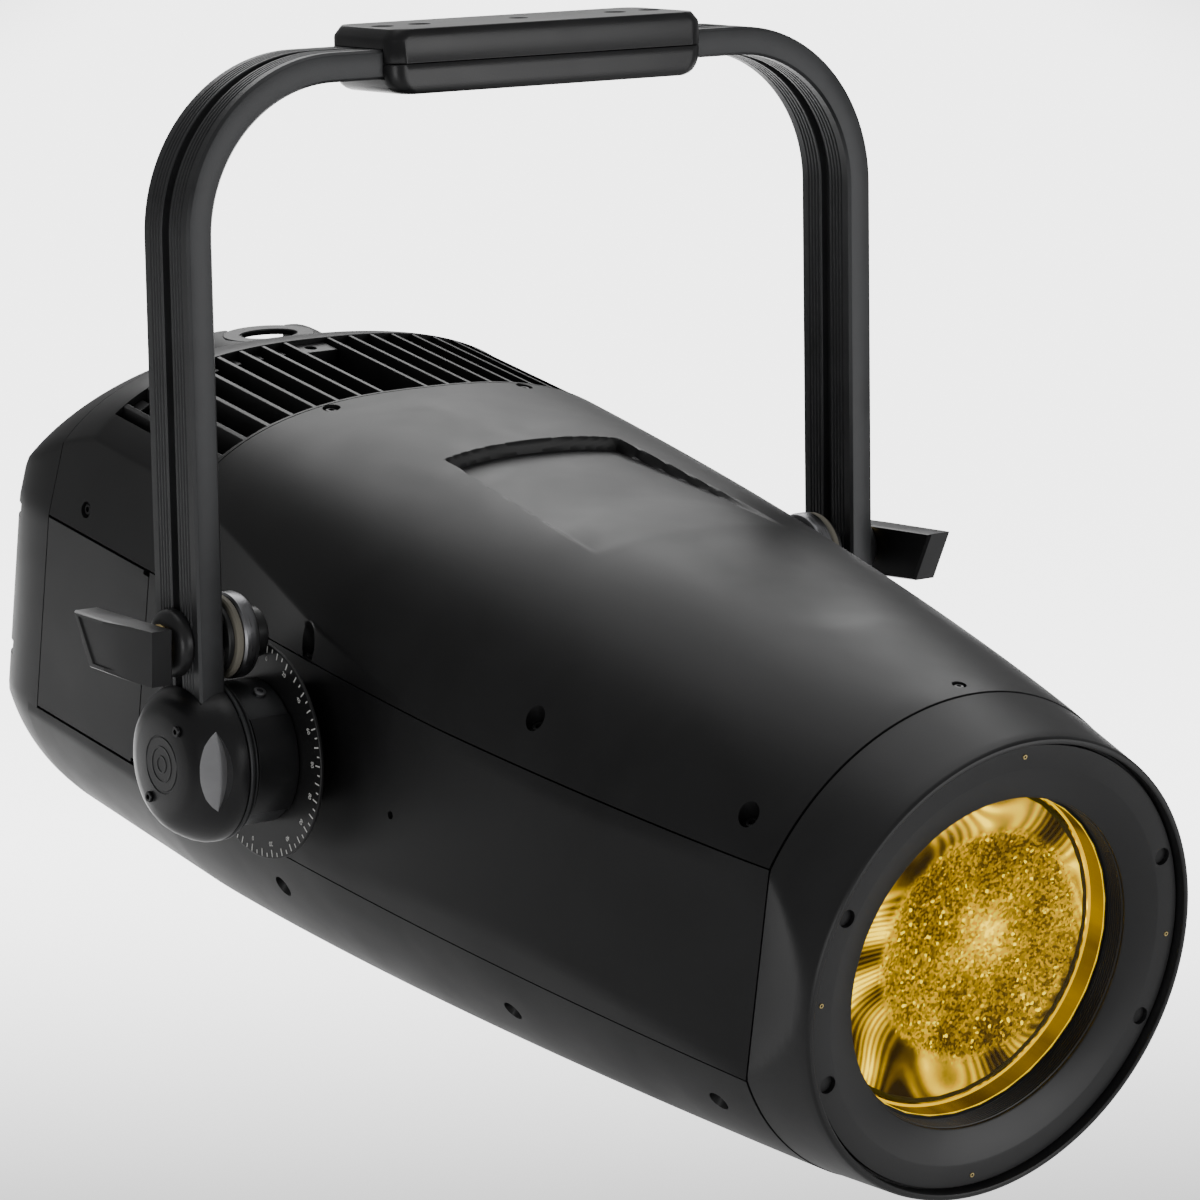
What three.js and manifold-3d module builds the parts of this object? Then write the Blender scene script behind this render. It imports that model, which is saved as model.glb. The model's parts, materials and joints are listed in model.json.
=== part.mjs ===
// A large theatre follow spot: a lamp head with a coloured front lens, hung in a forked yoke.
// Millimetres, +Z up. The beam leaves towards -Y and the tilt axis lies along X.
// The origin is the centre of the crossbar's top face, where the hanging clamp is bolted on.

import * as THREE from 'three';
import { mergeVertices } from 'three/addons/utils/BufferGeometryUtils.js';
import Module from 'manifold-3d';

const wasm = await Module();
wasm.setup();

// ---------------------------------------------------------------- driving dimensions

const GAP = 0.3;                 // clearance between neighbouring pieces
const WALL = 3;                  // moulded cover thickness

const PIVOT_DROP = 450;          // crossbar's top face down to the tilt axis
const REST_TILT = THREE.MathUtils.degToRad(10.4);   // nose-down angle of the head at rest

const YOKE_SPAN = 539;           // over the outer faces of the two arms
const ARM_THICK = 18.4;
const ARM_DEPTH = 52.4;
const ARM_SLOT_WIDTH = 8.4;
const ARM_SLOT_DEPTH = 5;
const BEND_RADIUS = 110;         // outside of the arm's bend
const ARM_AXIS_DROP = 21.9;      // crossbar's top face to the middle of the horizontal arm

const BAR_LENGTH = 246;
const BAR_DEPTH = 74;
const BAR_PARTING = 21.7;        // top face to the joint between the two shells
const BAR_HEIGHT = 41;
const BAR_CORNER = 12;
const CLAMP_HOLE = 13;           // M12 clamp bolt
const ARM_BOLT_HOLE = 9;
const ARM_BOLT_OFFSETS = [77, 105];

const SHAFT_RADIUS = 14;         // tilt shaft
const HUB_RADIUS = 53;
const COLLAR_RADIUS = 46;
const DIAL_RADIUS = 70.5;
const DIAL_FACE = 211.1;         // outer face of the dial plate, from the middle of the head
const DIAL_THICK = 2.4;
const HUB_FACE = 283.7;          // outer face of the hub cap

const LOCK_HEIGHT = 76;          // tilt lock's axis above the tilt axis
const LOCK_DISC_RADIUS = 27.5;
const SPINDLE_RADIUS = 8;
const PAD_RADIUS = 16;           // narrow end of the clamp disc, which bears on the dial
const PAD_BACK = -DIAL_FACE - 13.4;
const DISC_BACK = PAD_BACK - 11.6;
const WASHER_BACK = DISC_BACK - 5.4;
const LEVER_LENGTH = 90;
const LEVER_HEIGHT = 35;

const NOSE = 481;                // front rim, from the tilt axis
const PLATE_FACE = 475.5;        // screw band of the lens retainer
const RING_SEAM = 425;           // back of the front ring
const TAIL = 371;                // back of the head
const VENT_FRONT = -150;         // front edge of the vents (positive is towards the nose)
const VENT_BACK = -275;
const TAIL_SEAM = -311;
const SIDE_SEAM = -180;          // joint between the front and rear side panels

const NOSE_RADIUS = 143.7;
const RING_RADIUS = 155;         // at the ring's back
const RING_FLAT = 140;           // half width over the ring's two side flats
const BODY_HALF_WIDTH = 188;
const BODY_TOP = 175;            // roof height at the vents
const BODY_BOTTOM = 198.5;       // belly depth at the vents
const SIDE_LEAN = 0.16;          // inward lean of the rear roof's sides, above LEAN_FROM
const LEAN_FROM = 56;
const ROOF_DROP = 38;            // fall of the roof from the vents to the tail
const LENS_RADIUS = 103.6;
const LENS_FACE = 453;
const LENS_EDGE = 15;

const HALF_SPAN = YOKE_SPAN / 2;
const ARM_INNER = HALF_SPAN - ARM_THICK;
const UP = new THREE.Vector3(0, 0, 1);

// ---------------------------------------------------------------- solids

function toSolid(geometry) {
  const bare = new THREE.BufferGeometry();
  bare.setAttribute('position', geometry.getAttribute('position'));
  bare.setIndex(geometry.getIndex());
  const merged = mergeVertices(bare, 1e-3);
  const points = merged.getAttribute('position');
  const index = merged.getIndex().array;
  const corners = [];
  for (let i = 0; i < index.length; i += 3) {
    const [a, b, c] = [index[i], index[i + 1], index[i + 2]];
    if (a !== b && b !== c && c !== a) corners.push(a, b, c);
  }
  if (signedVolume(points, corners) < 0) corners.reverse();
  return new wasm.Manifold(new wasm.Mesh({
    numProp: 3,
    vertProperties: new Float32Array(points.array),
    triVerts: new Uint32Array(corners),
  }));
}

function signedVolume(points, corners) {
  const [a, b, c] = [new THREE.Vector3(), new THREE.Vector3(), new THREE.Vector3()];
  let volume = 0;
  for (let i = 0; i < corners.length; i += 3) {
    a.fromBufferAttribute(points, corners[i]);
    b.fromBufferAttribute(points, corners[i + 1]);
    c.fromBufferAttribute(points, corners[i + 2]);
    volume += a.dot(b.cross(c)) / 6;
  }
  return volume;
}

function toGeometry(solid) {
  const mesh = solid.getMesh();
  const geometry = new THREE.BufferGeometry();
  geometry.setAttribute('position', new THREE.BufferAttribute(mesh.vertProperties, 3));
  geometry.setIndex(new THREE.BufferAttribute(mesh.triVerts, 1));
  geometry.computeVertexNormals();
  return geometry;
}

const join = (first, ...rest) => rest.reduce((whole, piece) => whole.add(piece), first);
const cut = (first, ...tools) => tools.reduce((whole, tool) => whole.subtract(tool), first);

// A block between two corners.
function block([x0, y0, z0], [x1, y1, z1]) {
  const geometry = new THREE.BoxGeometry(x1 - x0, y1 - y0, z1 - z0);
  geometry.translate((x0 + x1) / 2, (y0 + y1) / 2, (z0 + z1) / 2);
  return toSolid(geometry);
}

// A profile of [radius, distance] points turned about an axis through (x, y, z).
function turned(axis, profile, [x, y, z] = [0, 0, 0], sides = 24) {
  const closed = profile.map(([radius, along]) => new THREE.Vector2(radius, along));
  closed.push(closed[0].clone());
  const geometry = new THREE.LatheGeometry(closed, sides);
  if (axis === 'x') geometry.rotateZ(-Math.PI / 2);
  if (axis === 'z') geometry.rotateX(Math.PI / 2);
  geometry.translate(x, y, z);
  return toSolid(geometry);
}

// A round bar between two distances along an axis.
function rod(axis, radius, from, to, centre, sides = 12) {
  return turned(axis, [[0, from], [radius, from], [radius, to], [0, to]], centre, sides);
}

// A tube between two distances along an axis.
function ring(axis, inner, outer, from, to, centre, sides = 24) {
  return turned(axis, [[inner, from], [outer, from], [outer, to], [inner, to]], centre, sides);
}

// An outline of [a, b] points in the plane across an axis, carried between two distances along it.
function prism(axis, outline, from, to) {
  const shape = new THREE.Shape(outline.map(([a, b]) => new THREE.Vector2(a, b)));
  const geometry = new THREE.ExtrudeGeometry(shape, { depth: to - from, bevelEnabled: false });
  geometry.translate(0, 0, from);
  const [x, y, z] = [new THREE.Vector3(1, 0, 0), new THREE.Vector3(0, 1, 0), UP];
  const basis = new THREE.Matrix4();
  if (axis === 'x') basis.makeBasis(y, z, x);
  if (axis === 'y') basis.makeBasis(z, x, y);
  if (axis === 'z') basis.makeBasis(x, y, z);
  geometry.applyMatrix4(basis);
  return toSolid(geometry);
}

// A closed skin over a row of rings with equal numbers of points.
function loft(rings) {
  const count = rings[0].length;
  const positions = rings.flat().flatMap((point) => [point.x, point.y, point.z]);
  const index = [];
  for (let r = 0; r + 1 < rings.length; r += 1) {
    for (let i = 0; i < count; i += 1) {
      const [a, b] = [r * count + i, r * count + (i + 1) % count];
      index.push(a, b, a + count, b, b + count, a + count);
    }
  }
  const ends = [[0, rings[0], 1], [(rings.length - 1) * count, rings.at(-1), -1]];
  for (const [start, ringPoints, turn] of ends) {
    const middle = new THREE.Vector3();
    ringPoints.forEach((point) => middle.addScaledVector(point, 1 / count));
    const hub = positions.length / 3;
    positions.push(middle.x, middle.y, middle.z);
    for (let i = 0; i < count; i += 1) {
      const [a, b] = [start + i, start + (i + 1) % count];
      index.push(...(turn > 0 ? [b, a, hub] : [a, b, hub]));
    }
  }
  const geometry = new THREE.BufferGeometry();
  geometry.setAttribute('position', new THREE.Float32BufferAttribute(positions, 3));
  geometry.setIndex(index);
  return toSolid(geometry);
}

// ---------------------------------------------------------------- materials

const finish = (color, roughness, metalness) => new THREE.MeshStandardMaterial({ color, roughness, metalness });
const cover = () => finish(0x232325, 0.5, 0.1);
const casting = () => finish(0x2b2b2e, 0.45, 0.3);
const extrusion = () => finish(0x3c3c3f, 0.5, 0.4);
const steel = () => finish(0x8a8a8c, 0.35, 0.9);
const blackPlastic = () => finish(0x19191b, 0.6, 0);
const fibre = () => finish(0xb8b09a, 0.8, 0);
const amber = () => finish(0xf2b500, 0.15, 0.2);
const clearGlass = () => finish(0xcfd8dc, 0.1, 0);
const bareAluminium = () => finish(0xa8abae, 0.4, 0.8);
const boardGreen = () => finish(0x1f5a38, 0.6, 0.1);

function add(parent, name, solid, material) {
  const mesh = new THREE.Mesh(toGeometry(solid), material);
  mesh.name = name;
  parent.add(mesh);
}

// ---------------------------------------------------------------- yoke

const spot = new THREE.Group();
const pivot = (x = 0, y = 0, z = 0) => [x, y, z - PIVOT_DROP];

// The arm's section, across its thickness and its depth, with the slot down both faces.
function armSection() {
  const [halfThick, halfDepth] = [ARM_THICK / 2, ARM_DEPTH / 2];
  const [halfSlot, floor] = [ARM_SLOT_WIDTH / 2, ARM_THICK / 2 - ARM_SLOT_DEPTH];
  const face = [[halfThick, -halfDepth], [halfThick, -halfSlot], [floor, -halfSlot],
    [floor, halfSlot], [halfThick, halfSlot], [halfThick, halfDepth]];
  return [...face, ...face.map(([across, along]) => [-across, -along])];
}

// One arm on the -X side: up from the hub, round the bend and into the crossbar.
function armSolid() {
  const middleX = HALF_SPAN - ARM_THICK / 2;
  const bend = BEND_RADIUS - ARM_THICK / 2;
  const bendCentre = [-(middleX - bend), -ARM_AXIS_DROP - bend];
  const armFoot = -PIVOT_DROP - 22;
  const armTip = -42;
  const stations = [{ at: [-middleX, armFoot], out: [-1, 0] }];
  const bendSteps = 8;
  for (let i = 0; i <= bendSteps; i += 1) {
    const angle = Math.PI - (i / bendSteps) * Math.PI / 2;
    const out = [Math.cos(angle), Math.sin(angle)];
    stations.push({ at: [bendCentre[0] + bend * out[0], bendCentre[1] + bend * out[1]], out });
  }
  stations.push({ at: [armTip, -ARM_AXIS_DROP], out: [0, 1] });
  const rings = stations.map(({ at, out }) => armSection().map(([across, along]) => (
    new THREE.Vector3(at[0] + out[0] * across, along, at[1] + out[1] * across))));
  const lockHole = rod('x', SPINDLE_RADIUS + 0.4, -HALF_SPAN - 5, -ARM_INNER + 5, pivot(0, 0, LOCK_HEIGHT));
  const shaftHole = rod('x', SHAFT_RADIUS + 0.6, -HALF_SPAN - 5, -ARM_INNER + 5, pivot());
  const boltHoles = ARM_BOLT_OFFSETS.map((offset) => (
    rod('z', ARM_BOLT_HOLE / 2, -ARM_AXIS_DROP - ARM_THICK, -ARM_AXIS_DROP + ARM_THICK, [-offset, 0, 0])));
  return cut(loftOpenSection(rings), lockHole, shaftHole, ...boltHoles);
}

// A skin over rings whose outline isn't convex, with its two ends closed by triangulated caps.
function loftOpenSection(rings) {
  const count = rings[0].length;
  const flat = armSection().map(([a, b]) => new THREE.Vector2(a, b));
  const cap = THREE.ShapeUtils.triangulateShape(flat, []);
  const positions = rings.flat().flatMap((point) => [point.x, point.y, point.z]);
  const index = [];
  for (let r = 0; r + 1 < rings.length; r += 1) {
    for (let i = 0; i < count; i += 1) {
      const [a, b] = [r * count + i, r * count + (i + 1) % count];
      index.push(a, b, a + count, b, b + count, a + count);
    }
  }
  const last = (rings.length - 1) * count;
  for (const [a, b, c] of cap) {
    index.push(c, b, a, last + a, last + b, last + c);
  }
  const geometry = new THREE.BufferGeometry();
  geometry.setAttribute('position', new THREE.Float32BufferAttribute(positions, 3));
  geometry.setIndex(index);
  return toSolid(geometry);
}

// The crossbar's rounded outline, seen from above.
function barOutline() {
  const [halfLength, halfDepth] = [BAR_LENGTH / 2, BAR_DEPTH / 2];
  const corners = [[1, 1], [-1, 1], [-1, -1], [1, -1]];
  const cornerSteps = 3;
  return corners.flatMap(([sideX, sideY], corner) => {
    const points = [];
    for (let i = 0; i <= cornerSteps; i += 1) {
      const angle = (corner + i / cornerSteps) * Math.PI / 2;
      points.push([sideX * (halfLength - BAR_CORNER) + BAR_CORNER * Math.cos(angle),
        sideY * (halfDepth - BAR_CORNER) + BAR_CORNER * Math.sin(angle)]);
    }
    return points;
  });
}

// Material taken out of the crossbar: the arm channels, the clamp bolt's hole and the arm bolts' holes.
function barCuts() {
  const channelHalf = ARM_THICK / 2 + GAP;
  const innerEnd = 40;
  const channels = [-1, 1].map((side) => block(
    [Math.min(side * innerEnd, side * BAR_LENGTH), -ARM_DEPTH / 2 - GAP, -ARM_AXIS_DROP - channelHalf],
    [Math.max(side * innerEnd, side * BAR_LENGTH), ARM_DEPTH / 2 + GAP, -ARM_AXIS_DROP + channelHalf]));
  const offsets = ARM_BOLT_OFFSETS.flatMap((offset) => [-offset, offset]);
  const boltHoles = offsets.map((offset) => rod('z', ARM_BOLT_HOLE / 2, -BAR_HEIGHT - 5, 5, [offset, 0, 0], 8));
  const counterbores = offsets.map((offset) => rod('z', 7.5, -6, 5, [offset, 0, 0], 12));
  const clampHole = rod('z', CLAMP_HOLE / 2, -BAR_HEIGHT - 5, 5, [0, 0, 0]);
  return [...channels, ...boltHoles, ...counterbores, clampHole];
}

const barTop = cut(prism('z', barOutline(), -BAR_PARTING + GAP / 2, 0), ...barCuts());
const barBottom = cut(prism('z', barOutline(), -BAR_HEIGHT, -BAR_PARTING - GAP / 2), ...barCuts());
add(spot, 'crossbar_top', barTop, casting());
add(spot, 'crossbar_bottom', barBottom, casting());

// ---------------------------------------------------------------- hub and tilt lock

// Domed cap over the arm's foot, with a slot for the arm and a pocket for the shaft nut.
function hubCap() {
  const profile = [[0, -HUB_FACE], [30, -HUB_FACE + 0.3], [38, -HUB_FACE + 2.1], [43.5, -HUB_FACE + 6.9],
    [HUB_RADIUS - 4, -HALF_SPAN + 1.5], [HUB_RADIUS - 0.7, -HALF_SPAN + 10], [HUB_RADIUS, -HALF_SPAN + 14],
    [HUB_RADIUS, -ARM_INNER - GAP], [0, -ARM_INNER - GAP]];
  const dome = turned('x', profile, pivot(), 24);
  const slot = block([-HALF_SPAN - GAP, -ARM_DEPTH / 2 - GAP, -PIVOT_DROP - 23],
    [-ARM_INNER + 1, ARM_DEPTH / 2 + GAP, -PIVOT_DROP + HUB_RADIUS + 5]);
  const nutPocket = rod('x', 20.5, -HALF_SPAN - 10.5, -ARM_INNER, pivot());
  return cut(dome, slot, nutPocket, scallop());
}

// The wedge that leaves the almond-shaped facet on the cap's front.
function scallop() {
  const [edgeX, edgeY, tall] = [-258, -43, 80];
  const outline = [[edgeX, edgeY], [edgeX - 40, edgeY + 6], [edgeX - 40, edgeY - 40], [edgeX + 3, edgeY - 40]];
  return prism('z', outline, -PIVOT_DROP - tall / 2, -PIVOT_DROP + tall / 2);
}

// Bearing housing bolted inside the arm: flange against the arm, collar towards the dial.
function hubBearing() {
  const [bore, step] = [SHAFT_RADIUS + GAP, -DIAL_FACE - 32];
  const profile = [[bore, -ARM_INNER + GAP], [HUB_RADIUS, -ARM_INNER + GAP], [HUB_RADIUS, -ARM_INNER + 3],
    [50, -ARM_INNER + 4], [50, step], [COLLAR_RADIUS, step], [COLLAR_RADIUS, -DIAL_FACE - 0.5],
    [bore, -DIAL_FACE - 0.5]];
  return turned('x', profile, pivot(), 24);
}

function pivotNut() {
  const nut = rod('x', 18, -HALF_SPAN - 9.5, -HALF_SPAN - GAP, pivot(), 6);
  return cut(nut, rod('x', SHAFT_RADIUS + GAP, -HALF_SPAN - 20, -HALF_SPAN + 5, pivot(), 28));
}

const lockAxis = pivot(0, 0, LOCK_HEIGHT);
const LEVER_INNER = HUB_FACE + 1.8;
const LEVER_THICK = 19.5;

// Clamping lever: a slanted grip beside the arm, thinned towards its tip, with a round root.
function lockLever() {
  const [back, front] = [LEVER_LENGTH * 0.75, -LEVER_LENGTH * 0.25];
  const [top, bottom] = [LOCK_HEIGHT + 13, LOCK_HEIGHT - LEVER_HEIGHT + 13];
  const side = [[front + 2, bottom - PIVOT_DROP], [back - 17, bottom - PIVOT_DROP + 3],
    [back, top - PIVOT_DROP + 2], [front, top - PIVOT_DROP]];
  const grip = prism('x', side, -LEVER_INNER - LEVER_THICK, -LEVER_INNER);
  const taper = prism('z', [[-LEVER_INNER - 60, -30], [-LEVER_INNER - LEVER_THICK + 3, front - 1],
    [-LEVER_INNER - LEVER_THICK, 30], [-LEVER_INNER - 60, 30]], -PIVOT_DROP, -PIVOT_DROP + 160);
  return cut(grip, taper);
}

// Spindle through the arm, with the round shoulder under the lever.
function lockSpindle() {
  const shoulder = -HALF_SPAN - GAP;
  const profile = [[0, -LEVER_INNER + GAP], [17, -LEVER_INNER + GAP], [21.5, -LEVER_INNER + 5],
    [21.5, shoulder], [SPINDLE_RADIUS, shoulder], [SPINDLE_RADIUS, DISC_BACK - 0.8], [0, DISC_BACK - 0.8]];
  return turned('x', profile, lockAxis, 22);
}

// Sliding clamp pack on the spindle: carrier, fibre washer and steel disc, from the arm to the dial.
// The disc's narrower pad is what bears on the dial.
const clampCarrier = () => ring('x', SPINDLE_RADIUS + 0.3, 23.5, WASHER_BACK - 4.4, WASHER_BACK - GAP, lockAxis, 22);
const clampWasher = () => ring('x', SPINDLE_RADIUS + 0.3, LOCK_DISC_RADIUS - 0.8, WASHER_BACK, DISC_BACK - GAP,
  lockAxis, 26);
const clampDisc = () => turned('x', [[0, DISC_BACK], [LOCK_DISC_RADIUS, DISC_BACK],
  [LOCK_DISC_RADIUS, PAD_BACK], [PAD_RADIUS, PAD_BACK], [PAD_RADIUS, -DIAL_FACE - 0.4], [0, -DIAL_FACE - 0.4]],
lockAxis, 26);

// The whole -X side of the yoke. The +X side is the same set of pieces turned half round.
function yokeSide(side) {
  const group = new THREE.Group();
  add(group, `yoke_arm_${side}`, armSolid(), extrusion());
  add(group, `hub_cap_${side}`, hubCap(), casting());
  add(group, `hub_bearing_${side}`, hubBearing(), casting());
  add(group, `pivot_nut_${side}`, pivotNut(), steel());
  add(group, `lock_lever_${side}`, lockLever(), blackPlastic());
  add(group, `lock_spindle_${side}`, lockSpindle(), blackPlastic());
  add(group, `clamp_carrier_${side}`, clampCarrier(), blackPlastic());
  add(group, `clamp_washer_${side}`, clampWasher(), fibre());
  add(group, `clamp_disc_${side}`, clampDisc(), steel());
  return group;
}

const leftSide = yokeSide('left');
const rightSide = yokeSide('right');
rightSide.rotation.z = Math.PI;
spot.add(leftSide, rightSide);

// ---------------------------------------------------------------- head: casing shape

// In the head's own frame the beam runs along -Y, so "forward" distances are -y.
const head = new THREE.Group();
head.position.z = -PIVOT_DROP;
head.rotation.x = REST_TILT;
spot.add(head);

const mix = (from, to, share) => from + (to - from) * share;

// Half width over the flat sides.
function sideFlat(forward) {
  const share = THREE.MathUtils.clamp((forward + 20) / (RING_SEAM + 20), 0, 1);
  return mix(BODY_HALF_WIDTH, RING_FLAT, share ** 2.5);
}

// Points of the casing's section at one station: a squarish roof, flat sides and a round belly,
// which all turn into the front ring's circle towards the nose. Inset moves them inwards.
function casingRing(forward, inset = 0, shrink = 1) {
  const share = THREE.MathUtils.clamp((RING_SEAM - forward) / (RING_SEAM - VENT_FRONT), 0, 1);
  const tailShare = THREE.MathUtils.clamp((VENT_BACK - forward) / (VENT_BACK + TAIL), 0, 1);
  const leanShare = THREE.MathUtils.clamp((20 - forward) / 170, 0, 1);
  const width = mix(RING_RADIUS, 198, 1 - (1 - share) ** 2.2) - inset;
  const roof = mix(RING_RADIUS, BODY_TOP, 1 - (1 - share) ** 2.08) - inset - ROOF_DROP * tailShare ** 1.5;
  const belly = mix(RING_RADIUS, BODY_BOTTOM, 1 - (1 - share) ** 1.4) - inset;
  const roofPower = 2 / (2 + 0.6 * share ** 0.73 * (1 - tailShare));
  const bellyPower = 2 / (2 + 0.18 * share ** 1.18);
  const [shoulder, hip] = [45 * share, -28 * share];
  const half = 12;
  const points = [];
  for (let i = 0; i < 2 * half; i += 1) {
    const angle = ((i + 0.5) / half) * Math.PI;
    const [across, up] = [Math.cos(angle), Math.sin(angle)];
    const power = up > 0 ? roofPower : bellyPower;
    const x = width * Math.sign(across) * Math.abs(across) ** power;
    const z = up > 0 ? shoulder + (roof - shoulder) * up ** power : hip - (belly + hip) * Math.abs(up) ** power;
    const flat = sideFlat(forward) - inset - SIDE_LEAN * leanShare * Math.max(0, z - LEAN_FROM);
    points.push(new THREE.Vector3(THREE.MathUtils.clamp(x, -flat, flat) * shrink, -forward, z * shrink));
  }
  return points;
}

function casingSolid(inset, from, to, steps = 8) {
  const rings = [];
  for (let i = 0; i <= steps; i += 1) {
    rings.push(casingRing(mix(from, to, i / steps), inset));
  }
  return loft(rings);
}

const shellOuter = casingSolid(0, RING_SEAM - GAP, TAIL_SEAM);
const shellInner = casingSolid(WALL, RING_SEAM + 5, TAIL_SEAM - 30);
const shell = cut(shellOuter, shellInner);

// The seams along the sides drop slowly towards the tail.
const upperSeam = (forward) => 66 - (RING_SEAM - forward) * 0.0132;
const lowerSeam = (forward) => -67 - (RING_SEAM - forward) * 0.021;

// A slab of space between two forward stations and two seam lines.
function zone(front, back, floorLine, roofLine) {
  return prism('x', [[-front, floorLine(front)], [-back, floorLine(back)],
    [-back, roofLine(back)], [-front, roofLine(front)]], -400, 400);
}
const above = (line) => (forward) => line(forward) + GAP / 2;
const below = (line) => (forward) => line(forward) - GAP / 2;
const far = (height) => () => height;
const halfSpace = (side) => block([side < 0 ? -400 : 20, -600, -400], [side < 0 ? -20 : 400, 600, 400]);

// ---------------------------------------------------------------- head: covers

// Shallow blank recess in the roof, deepest at its back edge; drop lowers it to make its underside.
function roofRecess(drop) {
  const [front, back, halfWidth] = [150, -30, 68 + drop];
  const outline = [[-front - drop, BODY_TOP - 4 - drop], [-back + drop, BODY_TOP - 8 - drop],
    [-back + drop, 300], [-front - drop, 300]];
  return prism('x', outline, -halfWidth, halfWidth);
}
const topShell = cut(shellOuter, roofRecess(0), cut(shellInner, roofRecess(WALL)));
const topCover = topShell.intersect(zone(RING_SEAM, VENT_FRONT + GAP, above(upperSeam), far(300)));
add(head, 'top_cover', topCover, cover());

const bottomCover = shell.intersect(zone(RING_SEAM, TAIL_SEAM - 14, far(-300), below(lowerSeam)));
add(head, 'bottom_cover', bottomCover, cover());

const TRUNNION_RADIUS = 38;
for (const [side, name] of [[-1, 'left'], [1, 'right']]) {
  const strip = shell.intersect(halfSpace(side));
  const hole = rod('x', TRUNNION_RADIUS + 1.5, side < 0 ? -300 : 100, side < 0 ? -100 : 300);
  const front = strip.intersect(zone(RING_SEAM, SIDE_SEAM + GAP, above(lowerSeam), below(upperSeam)));
  const back = strip.intersect(zone(SIDE_SEAM, TAIL_SEAM, above(lowerSeam), below(upperSeam)));
  add(head, `side_panel_${name}`, cut(front, hole), cover());
  add(head, `rear_side_panel_${name}`, back, cover());
}

// Vent opening in the rear roof, and the bars that fill it.
const VENT_HALF_WIDTH = 166;
const ventOpening = block([-VENT_HALF_WIDTH, -VENT_FRONT + 4, 90], [VENT_HALF_WIDTH, -VENT_BACK, 300]);
const rearRoof = shell.intersect(zone(VENT_FRONT, TAIL_SEAM, above(upperSeam), far(300)));
add(head, 'rear_top_cover', cut(rearRoof, ventOpening), cover());

function ventGrille() {
  const barCount = 14;
  const pitch = (2 * VENT_HALF_WIDTH - 12) / barCount;
  const inset = WALL + GAP;
  const [front, back] = [VENT_FRONT - 1, VENT_BACK - 12];
  const layer = (depth) => cut(
    casingSolid(inset, RING_SEAM + 5, TAIL_SEAM - 30), casingSolid(inset + depth, RING_SEAM + 5, TAIL_SEAM - 30));
  const flange = cut(
    layer(2.5).intersect(block([-VENT_HALF_WIDTH - 4, -front, 96], [VENT_HALF_WIDTH + 4, -back, 300])),
    block([-VENT_HALF_WIDTH + 6, -front + 9, 90], [VENT_HALF_WIDTH - 6, -back - 16, 300]));
  const bars = [];
  for (let i = 0; i <= barCount; i += 1) {
    const x = -VENT_HALF_WIDTH + 6 + i * pitch;
    bars.push(block([x - 1.4, -front + 2, 96], [x + 1.4, -back - 2, 300]));
  }
  return join(flange, layer(14).intersect(join(...bars)));
}
add(head, 'vent_grille', ventGrille(), blackPlastic());

const EYE_AT = 342;              // safety-cable eye, behind the tilt axis
const EYE_HEIGHT = 154.5;

// An oval round the safety eye, seen from above.
function eyeOutline(halfWidth, halfDepth) {
  const points = [];
  const steps = 16;
  for (let i = 0; i < steps; i += 1) {
    const angle = (i / steps) * 2 * Math.PI;
    points.push([halfWidth * Math.cos(angle), EYE_AT + halfDepth * Math.sin(angle)]);
  }
  return points;
}

// Tail cover: the casing's section drawn in towards the back, hollow, with its service openings.
function tailCover() {
  const start = -TAIL_SEAM + GAP;
  const outer = [];
  const inner = [];
  const steps = 3;
  for (let i = 0; i <= steps; i += 1) {
    const share = i / steps;
    const forward = -mix(start, TAIL, share);
    const shrink = 1 - 0.06 * share ** 3;
    outer.push(casingRing(forward, 0, shrink));
    inner.push(casingRing(forward + (i === 0 ? 2 : WALL), WALL, shrink));
  }
  const displayOpening = block([-62, 320, 30], [62, 400, 90]);
  const inletOpening = block([-60, 320, -125], [-24, 400, -97]);
  const dataOpening = block([10, 320, -128], [70, 400, -94]);
  const fanOpening = rod('y', 46, 320, 400, [0, 0, -28], 20);
  const eyeSlot = block([-29, EYE_AT - 8, 110], [29, EYE_AT + 8, 200]);
  const eyePocket = prism('z', eyeOutline(38, 22), EYE_HEIGHT - GAP, 220);
  return cut(loft(outer), loft(inner), displayOpening, inletOpening, dataOpening, fanOpening, eyeSlot, eyePocket);
}
add(head, 'tail_cover', tailCover(), blackPlastic());

// Safety-cable eye: a plate with an oval hole, standing up through the tail cover's roof.
function safetyEye() {
  const hole = eyeOutline(22.5, 10);
  const plate = prism('z', eyeOutline(36, 20), EYE_HEIGHT, EYE_HEIGHT + 4.5);
  const legs = [-1, 1].map((side) => block(
    [side * 26 - 1.5, EYE_AT - 6, 112], [side * 26 + 1.5, EYE_AT + 6, EYE_HEIGHT + 2]));
  return cut(join(plate, ...legs), prism('z', hole, EYE_HEIGHT - 8, EYE_HEIGHT + 12));
}
add(head, 'safety_eye', safetyEye(), casting());

// ---------------------------------------------------------------- head: front end

// Front ring: round at the rim, with two side flats fading in towards its back.
function frontRing() {
  const steps = 2;
  const sides = 36;
  const rings = [];
  for (let i = 0; i <= steps; i += 1) {
    const share = i / steps;
    const radius = mix(NOSE_RADIUS + 2, RING_RADIUS, share);
    const flat = mix(NOSE_RADIUS + 3, RING_FLAT, share);
    rings.push(ringOutline(mix(NOSE - 2.5, RING_SEAM, share), radius, flat, sides));
  }
  rings.unshift(ringOutline(NOSE, NOSE_RADIUS, NOSE_RADIUS, sides));
  const recess = rod('y', 141, -NOSE - 5, -PLATE_FACE + 4.5, [0, 0, 0], 36);
  const bore = rod('y', 127, -NOSE - 5, -RING_SEAM + 5, [0, 0, 0], 24);
  return cut(loft(rings), recess, bore);
}

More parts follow.
